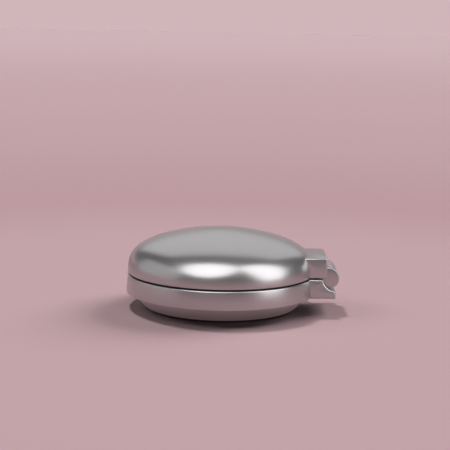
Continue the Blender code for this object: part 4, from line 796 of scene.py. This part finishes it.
def keys():
    """Rounded push keys, each with a flange behind the band and a plain sign cut into its face."""
    half_width = KEY_WIDTH / 2
    half_height = KEY_HEIGHT / 2
    for name, angle in KEY_ANGLES.items():
        node_low, node_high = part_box(f"{name}_button")
        key = box(
            f"{name}_cap", (KEY_BACK, -half_width, KEY_Z - half_height),
            (KEY_FACE, half_width, KEY_Z + half_height), KEY_EDGE,
        )
        for shape in icon_shapes(name):
            outline = [(across * MM, KEY_Z + up * MM) for across, up in shape]
            sign = prism("sign", outline, -KEY_FACE - CUT_MARGIN, ICON_DEPTH - KEY_FACE)
            cut(key, spin_place(sign, 90.0))
        lip = (node_high.z - node_low.z) / 2 - half_height
        low = KEY_BACK - KEY_FLANGE_HALF, -half_width - lip, node_low.z
        high = KEY_BACK + KEY_FLANGE_HALF, half_width + lip, node_high.z
        join(key, box("flange", low, high, SMALL_EDGE))
        spin_place(key, angle)
        dress(key, f"{name}_key", "satin_aluminium", f"{name}_button")


def hold_slider():
    """The slider's knob with three finger grooves."""
    node_low, node_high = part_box("hold_switch")
    rest = -HOLD_TRAVEL / 2
    half = HOLD_WIDTH / 2
    knob = box(
        "hold_knob", (KEY_BACK, rest - half, KEY_Z - HOLD_HEIGHT / 2),
        (KEY_FACE, rest + half, KEY_Z + HOLD_HEIGHT / 2), KEY_EDGE / 2,
    )
    for offset in (-HOLD_GROOVE_PITCH, 0.0, HOLD_GROOVE_PITCH):
        low = KEY_FACE, rest + offset, KEY_Z - HOLD_HEIGHT
        high = KEY_FACE, rest + offset, KEY_Z + HOLD_HEIGHT
        cut(knob, cylinder("groove", HOLD_GROOVE_RADIUS, low, high, GROOVE_SEGMENTS))
    low = KEY_BACK - KEY_FLANGE_HALF, rest - HOLD_FLANGE_HALF, node_low.z
    high = KEY_BACK + KEY_FLANGE_HALF, rest + HOLD_FLANGE_HALF, node_high.z
    join(knob, box("flange", low, high, SMALL_EDGE))
    dress(spin_place(knob, HOLD_ANGLE), "hold", "satin_aluminium", "hold_switch")


def volume_wheel():
    """The knurled edge wheel, with four points of its outline to a notch."""
    centre = on_circle(WHEEL_CIRCLE, WHEEL_ANGLE)
    count = 4 * WHEEL_NOTCHES
    outline = []
    for step in range(count):
        radius = WHEEL_RADIUS - WHEEL_NOTCH_DEPTH * (step % 4 in (2, 3))
        angle = 2 * math.pi * step / count
        outline.append((radius * math.cos(angle), radius * math.sin(angle)))
    wheel = prism("thumb_wheel", outline, -WHEEL_HIGH, -WHEEL_LOW)
    wheel.data.transform(Matrix.Rotation(-math.pi / 2, 4, "X"))
    ends = (0, 0, WHEEL_LOW - CUT_MARGIN), (0, 0, WHEEL_HIGH + CUT_MARGIN)
    cut(wheel, cylinder("bore", WHEEL_BORE, *ends))
    dress(moved(wheel, centre), "volume", "black_plastic", "volume_wheel")


def jack(name, angle, nose, bore, pin):
    """A socket with a ring-shaped nose in the band and, in the DC socket, a centre pin."""
    low = JACK_BODY_OUTER - JACK_BODY_DEPTH, -JACK_BODY_HALF, JACK_Z - JACK_BODY_HALF_HEIGHT
    high = JACK_BODY_OUTER, JACK_BODY_HALF, JACK_Z + JACK_BODY_HALF_HEIGHT
    body = box(f"{name}_socket", low, high, JACK_EDGE)
    root = (JACK_BODY_OUTER - CUT_MARGIN, 0, JACK_Z)
    join(body, cylinder("nose", nose, root, (JACK_NOSE, 0, JACK_Z), SMALL_SEGMENTS, JACK_EDGE))
    bore_end = JACK_NOSE - JACK_BORE_DEPTH
    cut(body, cylinder("bore", bore, (bore_end, 0, JACK_Z), (JACK_NOSE + CUT_MARGIN, 0, JACK_Z)))
    if pin > 0:
        tip = (JACK_NOSE - DC_PIN_SINK, 0, JACK_Z)
        join(body, cylinder("pin", pin, (bore_end - CUT_MARGIN, 0, JACK_Z), tip, SMALL_SEGMENTS, JACK_EDGE))
    dress(spin_place(body, angle), "base", "black_plastic", f"{name}_jack")


def door_rod(name, radius, reach, segments):
    """A rod on the hinge axis of the battery door."""
    start = (-reach, DOOR_AXIS_Y, DOOR_AXIS_Z)
    return cylinder(name, radius, start, (reach, DOOR_AXIS_Y, DOOR_AXIS_Z), segments)


def deck():
    """The disc well: a grey moulding with a rounded rim, rings in its floor and the battery bay."""
    wall = WELL_RADIUS + WELL_WALL
    profile = [
        (0.0, DECK_BOTTOM_Z), (wall, DECK_BOTTOM_Z), (wall, DECK_RIM_BOTTOM_Z),
        (DECK_RADIUS, DECK_RIM_BOTTOM_Z),
    ]
    profile += arc((DECK_RADIUS - SMALL_EDGE, DECK_RIM_Z - SMALL_EDGE), SMALL_EDGE, 0, 90, 3)
    profile += arc((WELL_RADIUS + WELL_EDGE, DECK_RIM_Z - WELL_EDGE), WELL_EDGE, 90, 180, 5)
    profile += arc((WELL_RADIUS - WELL_EDGE, DECK_TOP_Z + WELL_EDGE), WELL_EDGE, 0, -90, 5)
    for radius in reversed(RING_GROOVES):
        outer = radius + RING_GROOVE_WIDTH
        low = DECK_TOP_Z - RING_GROOVE_DEPTH
        profile += [(outer, DECK_TOP_Z), (outer, low), (radius, low), (radius, DECK_TOP_Z)]
    profile.append((0.0, DECK_TOP_Z))
    plate = turned("well_deck", profile)
    join(plate, box(
        "bay", (-BAY_HALF_LENGTH - BAY_WALL, BAY_OUTER_Y - BAY_WALL, BAY_FLOOR_Z - BAY_WALL),
        (BAY_HALF_LENGTH + BAY_WALL, BAY_INNER_Y + BAY_WALL, (DECK_BOTTOM_Z + DECK_TOP_Z) / 2),
    ))
    cut(plate, box(
        "bay_hollow", (-BAY_HALF_LENGTH, BAY_OUTER_Y, BAY_FLOOR_Z),
        (BAY_HALF_LENGTH, BAY_INNER_Y, DECK_TOP_Z + CUT_MARGIN),
    ))
    pin_end = BAY_HALF_LENGTH + DOOR_PIN_REACH + SEAT_GAP
    cut(plate, door_rod("door_pins", DOOR_PIN_RADIUS + PIVOT_GAP, pin_end, PIN_SEGMENTS))
    low = DECK_BOTTOM_Z - CUT_MARGIN
    high = DECK_TOP_Z + CUT_MARGIN
    cut(plate, cylinder("hub_hole", HUB_HOLE_RADIUS, (0, 0, low), (0, 0, high), ROUND_SEGMENTS))
    cut(plate, box("slot", (-SLOT_END, -SLOT_HALF_WIDTH, low), (0.0, SLOT_HALF_WIDTH, high)))
    half = TAB_HALF_THICKNESS + TAB_SLOT_GAP
    side = TAB_HALF_WIDTH + TAB_SLOT_GAP
    cut(plate, box(
        "tab_slot", (-TAB_RADIUS - half, -side, DECK_RIM_BOTTOM_Z - CUT_MARGIN),
        (-TAB_RADIUS + half, side, DECK_RIM_Z + CUT_MARGIN),
    ))
    start = on_circle(CATCH_CIRCLE, CATCH_ANGLE, DECK_RIM_BOTTOM_Z - CUT_MARGIN)
    end = on_circle(CATCH_CIRCLE, CATCH_ANGLE, DECK_RIM_Z + CUT_MARGIN)
    cut(plate, cylinder("magnet_pocket", MAGNET_RADIUS + SEAT_GAP, start, end))
    dress(plate, "base", "grey_plastic", "deck_plate")


def battery_door():
    """The door over the bay, with a round hinge edge, a thumb cut and grip grooves."""
    half = BAY_HALF_LENGTH - SEAT_GAP
    front = BAY_OUTER_Y + SEAT_GAP
    door = box(
        "bay_door", (-half, front, DOOR_AXIS_Z - DOOR_HALF_THICKNESS),
        (half, DOOR_AXIS_Y, DOOR_AXIS_Z + DOOR_HALF_THICKNESS),
    )
    join(door, door_rod("edge", DOOR_HALF_THICKNESS, half, SMALL_SEGMENTS))
    join(door, door_rod("pins", DOOR_PIN_RADIUS, BAY_HALF_LENGTH + DOOR_PIN_REACH, PIN_SEGMENTS))
    thumb_y = front + DOOR_THUMB_BITE - DOOR_THUMB_RADIUS
    low = (0.0, thumb_y, DOOR_AXIS_Z - 2 * DOOR_HALF_THICKNESS)
    high = (0.0, thumb_y, DOOR_AXIS_Z + 2 * DOOR_HALF_THICKNESS)
    cut(door, cylinder("thumb", DOOR_THUMB_RADIUS, low, high, ROUND_SEGMENTS))
    top = DOOR_AXIS_Z + DOOR_HALF_THICKNESS + DOOR_GRIP_LIFT
    for number in range(DOOR_GRIPS):
        y = front + DOOR_GRIP_START + DOOR_GRIP_PITCH * number
        ends = (-DOOR_GRIP_HALF, y, top), (DOOR_GRIP_HALF, y, top)
        cut(door, cylinder("groove", DOOR_GRIP_RADIUS, *ends, GROOVE_SEGMENTS))
    dress(door, "door", "grey_plastic", "battery_door")


def battery_cells():
    """Two round cells with rolled edges."""
    half = CELL_HALF_LENGTH
    shoulder = half - CELL_NUB_LENGTH
    profile = [(0.0, -half)] + arc((CELL_RADIUS - CELL_EDGE, CELL_EDGE - half), CELL_EDGE, -90, 0, 4)
    profile += arc((CELL_RADIUS - CELL_EDGE, shoulder - CELL_EDGE), CELL_EDGE, 0, 90, 4)
    profile += [(CELL_NUB_RADIUS, shoulder), (CELL_NUB_RADIUS, half), (0.0, half)]
    for number, side in ((1, 1), (2, -1)):
        low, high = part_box(f"battery_cell_{number}")
        cell = turned(f"cell_{number}", profile, ROUND_SEGMENTS)
        cell.data.transform(Matrix.Rotation(side * math.pi / 2, 4, "Y"))
        moved(cell, (low + high) / 2)
        dress(cell, "base", "cell_jacket", f"battery_cell_{number}")


def hub():
    """The turntable with a ringed seat, a centring nose and pockets for the balls."""
    edge = HUB_EDGE
    profile = [
        (0.0, HUB_SHAFT_Z), (HUB_SHAFT_RADIUS, HUB_SHAFT_Z), (HUB_SHAFT_RADIUS, HUB_BOSS_Z),
        (HUB_BOSS_RADIUS, HUB_BOSS_Z), (HUB_BOSS_RADIUS, HUB_SEAT_LOW),
        (HUB_FLANGE_RADIUS - edge, HUB_SEAT_LOW), (HUB_FLANGE_RADIUS, HUB_SEAT_LOW + edge),
        (HUB_FLANGE_RADIUS, HUB_SEAT_Z - edge), (HUB_FLANGE_RADIUS - edge, HUB_SEAT_Z),
    ]
    for radius in HUB_RINGS:
        groove = HUB_SEAT_Z - edge / 2
        profile += [(radius + edge, HUB_SEAT_Z), (radius, groove), (radius - edge, HUB_SEAT_Z)]
    profile.append((HUB_NOSE_RADIUS, HUB_SEAT_Z))
    profile += arc((HUB_NOSE_RADIUS - 2 * edge, HUB_TOP_Z - 2 * edge), 2 * edge, 0, 90, 5)
    dimple_z = HUB_TOP_Z - edge
    profile += [(HUB_DIMPLE_TOP, HUB_TOP_Z), (HUB_DIMPLE_FLOOR, dimple_z), (0.0, dimple_z)]
    table = turned("turntable", profile, CASE_SEGMENTS // 2)
    pocket = CHUCK_BALL_CIRCLE - CHUCK_BALL_RADIUS - SEAT_GAP
    for angle in CHUCK_BALL_ANGLES:
        start = on_circle(pocket, angle, CHUCK_BALL_Z)
        end = on_circle(HUB_NOSE_RADIUS + CUT_MARGIN, angle, CHUCK_BALL_Z)
        cut(table, cylinder("pocket", CHUCK_BALL_RADIUS + BALL_GAP, start, end))
    dress(table, "spindle", "black_plastic", "turntable_hub")


def lens():
    """The round lens with a crowned top."""
    low = LENS_TOP_Z - LENS_SINK
    profile = [(0.0, low), (LENS_RADIUS, low), (LENS_RADIUS, LENS_TOP_Z)]
    reach = LENS_RADIUS * LENS_CROWN_SHARE
    for step in range(1, LENS_STEPS + 1):
        angle = math.pi / 2 * step / LENS_STEPS
        profile.append((reach * math.cos(angle), LENS_TOP_Z + LENS_CROWN * math.sin(angle)))
    crown = turned("lens_crown", profile, ROUND_SEGMENTS)
    dress(moved(crown, (LENS_X, 0.0, 0.0)), "lens", "lens_glass", "objective_lens")


def lead_screw():
    """The screw shaft with its thread."""
    low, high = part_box("lead_screw")
    radius = (high.z - low.z) / 2
    rings = int((high.x - low.x) / THREAD_PITCH * THREAD_FACETS)
    bm = bmesh.new()
    rows = []
    for ring in range(rings + 1):
        x = low.x + (high.x - low.x) * ring / rings
        row = []
        for step in range(THREAD_FACETS):
            angle = 2 * math.pi * step / THREAD_FACETS
            wave = math.cos(angle - 2 * math.pi * (x - low.x) / THREAD_PITCH)
            r = radius - THREAD_DEPTH * (0.5 - 0.5 * wave)
            row.append(bm.verts.new((x, r * math.cos(angle), r * math.sin(angle))))
        rows.append(row)
    for near, far in zip(rows, rows[1:]):
        for step in range(THREAD_FACETS):
            after = (step + 1) % THREAD_FACETS
            bm.faces.new((near[step], near[after], far[after], far[step]))
    bm.faces.new(rows[0])
    bm.faces.new(rows[-1])
    screw = new_object("screw_thread", bm)
    moved(screw, (0.0, (low.y + high.y) / 2, (low.z + high.z) / 2))
    dress(screw, "screw_shaft", "bright_steel", "lead_screw")


def round_plate(name, node, body):
    """A small steel disc with a rounded edge, as big as its node."""
    low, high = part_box(node)
    centre = (low + high) / 2
    ends = (centre.x, centre.y, low.z), (centre.x, centre.y, high.z)
    plate = cylinder(name, MAGNET_RADIUS, *ends, SMALL_SEGMENTS, MAGNET_EDGE)
    dress(plate, body, "bright_steel", node)


def liner():
    """The moulded lining of the lid, with a flange round its foot and the interlock tab."""
    flange_inner = LINER_RADIUS - LINER_FLANGE_WIDTH
    profile = [(flange_inner, LINER_Z), (LINER_RADIUS - SMALL_EDGE, LINER_Z)]
    profile += dome_curve(LINER_RADIUS, LINER_HEIGHT, LINER_Z + SMALL_EDGE, LINER_STEPS)
    inner = dome_curve(LINER_RADIUS - LINER_WALL, LINER_HEIGHT - LINER_WALL, LINER_FLANGE_Z, LINER_STEPS)
    profile += list(reversed(inner))
    profile.append((flange_inner, LINER_FLANGE_Z))
    lining = turned("lining", profile, ring=True)
    join(lining, box(
        "tab", (-TAB_RADIUS - TAB_HALF_THICKNESS, -TAB_HALF_WIDTH, TAB_BOTTOM_Z),
        (-TAB_RADIUS + TAB_HALF_THICKNESS, TAB_HALF_WIDTH, (LINER_Z + LINER_FLANGE_Z) / 2), SMALL_EDGE,
    ))
    plate_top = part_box("catch_plate")[1].z
    start = on_circle(CATCH_CIRCLE, CATCH_ANGLE, LINER_Z - CUT_MARGIN)
    end = on_circle(CATCH_CIRCLE, CATCH_ANGLE, plate_top + SEAT_GAP)
    cut(lining, cylinder("plate_pocket", MAGNET_RADIUS + SEAT_GAP, start, end))
    dress(lining, "lid", "grey_plastic", "lid_liner")


def add_camera():
    """The photograph's viewing angle."""
    data = bpy.data.cameras.new("camera")
    data.lens = CAMERA_LENS
    data.sensor_width = CAMERA_SENSOR
    camera = bpy.data.objects.new("camera", data)
    aim = Matrix.Rotation(math.pi / 2 - CAMERA_TILT, 4, "X") @ Matrix.Rotation(CAMERA_ROLL, 4, "Z")
    camera.matrix_world = Matrix.Translation(CAMERA_PLACE) @ aim
    bpy.context.scene.collection.objects.link(camera)
    bpy.context.scene.camera = camera


def direction(azimuth, elevation):
    """A unit vector: azimuth in degrees from -Y towards +X, elevation above the floor."""
    az = math.radians(azimuth)
    el = math.radians(elevation)
    return Vector((math.sin(az) * math.cos(el), -math.cos(az) * math.cos(el), math.sin(el)))


def add_panel(name, azimuth, elevation, width, height, radiance, distance=1.2, shape="RECTANGLE"):
    """A soft panel for the metal to mirror, by its place on the sky and its size in degrees."""
    data = bpy.data.lights.new(name, "AREA")
    data.shape = shape
    data.size = 2 * distance * math.tan(math.radians(width / 2))
    data.size_y = 2 * distance * math.tan(math.radians(height / 2))
    area = data.size * data.size_y * (math.pi / 4 if shape == "ELLIPSE" else 1.0)
    data.energy = radiance * math.pi * area
    lamp = bpy.data.objects.new(name, data)
    way = direction(azimuth, elevation)
    turn = way.to_track_quat("Z", "Y").to_matrix().to_4x4()
    lamp.matrix_world = Matrix.Translation(way * distance) @ turn
    bpy.context.scene.collection.objects.link(lamp)
    lamp.visible_camera = False
    lamp.visible_diffuse = False


def add_sun(name, behind, left, angle, share):
    """A far soft lamp, tilted behind and to the left of straight above, that the metal doesn't mirror."""
    data = bpy.data.lights.new(name, "SUN")
    data.angle = math.radians(angle)
    way = Vector((-math.tan(math.radians(left)), math.tan(math.radians(behind)), 1.0)).normalized()
    data.energy = share * math.pi / way.z
    lamp = bpy.data.objects.new(name, data)
    lamp.matrix_world = way.to_track_quat("Z", "Y").to_matrix().to_4x4()
    bpy.context.scene.collection.objects.link(lamp)
    lamp.visible_glossy = False


def math_node(tree, operation, first, second):
    """One step of arithmetic on two sockets."""
    node = tree.nodes.new("ShaderNodeMath")
    node.operation = operation
    tree.links.new(first, node.inputs[0])
    tree.links.new(second, node.inputs[1])
    return node.outputs["Value"]


def ramp_node(tree, value, start, end):
    """A value that climbs smoothly from 0 to 1 between two limits."""
    node = tree.nodes.new("ShaderNodeMapRange")
    node.interpolation_type = "SMOOTHSTEP"
    node.inputs["From Min"].default_value = start
    node.inputs["From Max"].default_value = end
    tree.links.new(value, node.inputs["Value"])
    return node.outputs["Result"]


def mix_shaders(tree, share, first, second):
    """Two shaders, mixed by a value."""
    mix = tree.nodes.new("ShaderNodeMixShader")
    tree.links.new(share, mix.inputs["Fac"])
    tree.links.new(first, mix.inputs[1])
    tree.links.new(second, mix.inputs[2])
    return mix.outputs["Shader"]


def add_world():
    """A dim even room; the pale backdrop shows to the camera, and low in the rear to the metal."""
    world = bpy.data.worlds.new("studio")
    world.use_nodes = True
    tree = world.node_tree
    room = tree.nodes["Background"]
    room.inputs["Color"].default_value = (*ROOM_COLOUR, 1.0)
    backdrop = tree.nodes.new("ShaderNodeBackground")
    backdrop.inputs["Color"].default_value = (*BACKDROP_COLOUR, 1.0)
    place = tree.nodes.new("ShaderNodeTexCoord")
    split = tree.nodes.new("ShaderNodeSeparateXYZ")
    tree.links.new(place.outputs["Generated"], split.inputs["Vector"])
    rear = ramp_node(tree, split.outputs["Y"], *BACKDROP_REAR)
    low = ramp_node(tree, split.outputs["Z"], *BACKDROP_LOW)
    path = tree.nodes.new("ShaderNodeLightPath")
    strength = tree.nodes.new("ShaderNodeMapRange")
    strength.inputs["To Min"].default_value = ROOM_LIGHT
    strength.inputs["To Max"].default_value = ROOM_MIRRORED
    tree.links.new(path.outputs["Is Glossy Ray"], strength.inputs["Value"])
    tree.links.new(strength.outputs["Result"], room.inputs["Strength"])
    low_rear = math_node(tree, "MULTIPLY", rear, low)
    mirrored = math_node(tree, "MULTIPLY", low_rear, path.outputs["Is Glossy Ray"])
    shown = math_node(tree, "MAXIMUM", mirrored, path.outputs["Is Camera Ray"])
    mix = mix_shaders(tree, shown, room.outputs["Background"], backdrop.outputs["Background"])
    tree.links.new(mix, tree.nodes["World Output"].inputs["Surface"])
    bpy.context.scene.world = world


def add_lights():
    """Soft panels that the metal mirrors, and far soft lamps from above and behind for the floor."""
    add_panel(
        "front_left_softbox", azimuth=-19, elevation=51, width=54, height=68,
        radiance=1.75, shape="ELLIPSE",
    )
    add_panel(
        "front_right_softbox", azimuth=65, elevation=31, width=45, height=76,
        radiance=1.75, shape="ELLIPSE",
    )
    add_panel("rear_panel", azimuth=177, elevation=41.5, width=62, height=46, radiance=0.58, distance=1.6)
    add_panel("left_fill", azimuth=-85, elevation=15, width=68, height=52, radiance=0.37)
    add_sun("key", behind=25, left=13, angle=6, share=0.38)
    add_sun("right_rear_fill", behind=44, left=-46, angle=40, share=0.46)
    add_sun("left_side_fill", behind=14, left=50, angle=30, share=0.14)
    add_world()


def colour_run(tree, value, stops):
    """Colours that run with a value, from a list of (value, colour)."""
    end = stops[-1][0]
    reach = tree.nodes.new("ShaderNodeMapRange")
    reach.inputs["From Max"].default_value = end
    tree.links.new(value, reach.inputs["Value"])
    ramp = tree.nodes.new("ShaderNodeValToRGB")
    marks = ramp.color_ramp.elements
    while len(marks) < len(stops):
        marks.new(1.0)
    for mark, (place, colour) in zip(marks, stops):
        mark.position = place / end
        mark.color = (*colour, 1.0)
    tree.links.new(reach.outputs["Result"], ramp.inputs["Fac"])
    return ramp.outputs["Color"]


def pale_floor():
    """Matte floor, its colour with a painted falloff of light; to the metal it glows as a painted
    reflection, dim under the case as painted shade, and glossy rays after a bounce see it black, painted
    shade in the contact shadow.
    """
    material, tree, shader = new_material("pale_floor", FLOOR_COLOUR, 0.9)
    shader.inputs["Specular IOR Level"].default_value = 0.05
    place = tree.nodes.new("ShaderNodeTexCoord")
    length = tree.nodes.new("ShaderNodeVectorMath")
    length.operation = "LENGTH"
    tree.links.new(place.outputs["Object"], length.inputs[0])
    distance = length.outputs["Value"]
    # Base colour by distance: a painted falloff of light, darker near 0.57 m and lighter far off
    tree.links.new(colour_run(tree, distance, FLOOR_PAINTED_FALLOFF), shader.inputs["Base Color"])
    # Painted reflection: the floor glows for glossy rays before any diffuse bounce, dim under the case as
    # painted shade
    plain = tree.nodes.new("ShaderNodeEmission")
    stops = [(reach, [level * part for part in FLOOR_COLOUR]) for reach, level in PAINTED_FLOOR_REFLECTION]
    tree.links.new(colour_run(tree, distance, stops), plain.inputs["Color"])
    path = tree.nodes.new("ShaderNodeLightPath")
    share = tree.nodes.new("ShaderNodeMapRange")
    share.inputs["To Max"].default_value = PAINTED_REFLECTION_SHARE
    direct = ramp_node(tree, path.outputs["Diffuse Depth"], 1.0, 0.0)
    mirrored = math_node(tree, "MULTIPLY", path.outputs["Is Glossy Ray"], direct)
    tree.links.new(mirrored, share.inputs["Value"])
    seen = mix_shaders(tree, share.outputs["Result"], shader.outputs["BSDF"], plain.outputs["Emission"])
    # Painted shade: glossy rays after a diffuse bounce see the floor black, which darkens the contact
    # shadow under the case
    dark = tree.nodes.new("ShaderNodeEmission")
    dark.inputs["Strength"].default_value = 0.0
    later = ramp_node(tree, path.outputs["Diffuse Depth"], 0.0, 1.0)
    painted_shade_mask = math_node(tree, "MULTIPLY", path.outputs["Is Glossy Ray"], later)
    shade = mix_shaders(tree, painted_shade_mask, seen, dark.outputs["Emission"])
    tree.links.new(shade, tree.nodes["Material Output"].inputs["Surface"])
    return material


def add_floor():
    """The wide floor that the object stands on."""
    bm = bmesh.new()
    bmesh.ops.create_grid(bm, x_segments=8, y_segments=8, size=FLOOR_HALF)
    floor = new_object("floor", bm)
    floor.data.materials.append(pale_floor())


def finish_nodes():
    """Give every CAD node that stays its slot's material and smooth shading."""
    for part in frame["record"]["subparts"]:
        node = NODES[part["node"]]
        node.data.materials.clear()
        node.data.materials.append(SLOTS[part["material_slot"]])
        node.data.shade_smooth()
        node.data.set_sharp_from_angle(angle=SHARP_ANGLE)


SLOTS = {
    "satin_aluminium": satin_aluminium(),
    "bright_steel": bright_steel(),
    "black_rubber": black_rubber(),
    "grey_plastic": moulded_plastic("grey_plastic", (0.16, 0.16, 0.17), 0.5),
    "black_plastic": moulded_plastic("black_plastic", (0.02, 0.02, 0.022), 0.45),
    "board_laminate": board_laminate(),
    "cell_jacket": cell_jacket(),
    "lens_glass": lens_glass(),
}

finish_nodes()
lid_case()
hinge_pin()
base_case()
rest_pad()
gasket()
case_screws()
keys()
hold_slider()
volume_wheel()
jack("headphone", HEADPHONE_ANGLE, HEADPHONE_NOSE, HEADPHONE_BORE, 0.0)
jack("dc", DC_ANGLE, DC_NOSE, DC_BORE, DC_PIN)
deck()
battery_door()
battery_cells()
hub()
lens()
lead_screw()
round_plate("magnet_disc", "catch_magnet", "base")
round_plate("catch_disc", "catch_plate", "lid")
liner()
add_camera()
add_lights()
add_floor()
bpy.context.scene.view_settings.view_transform = "Standard"
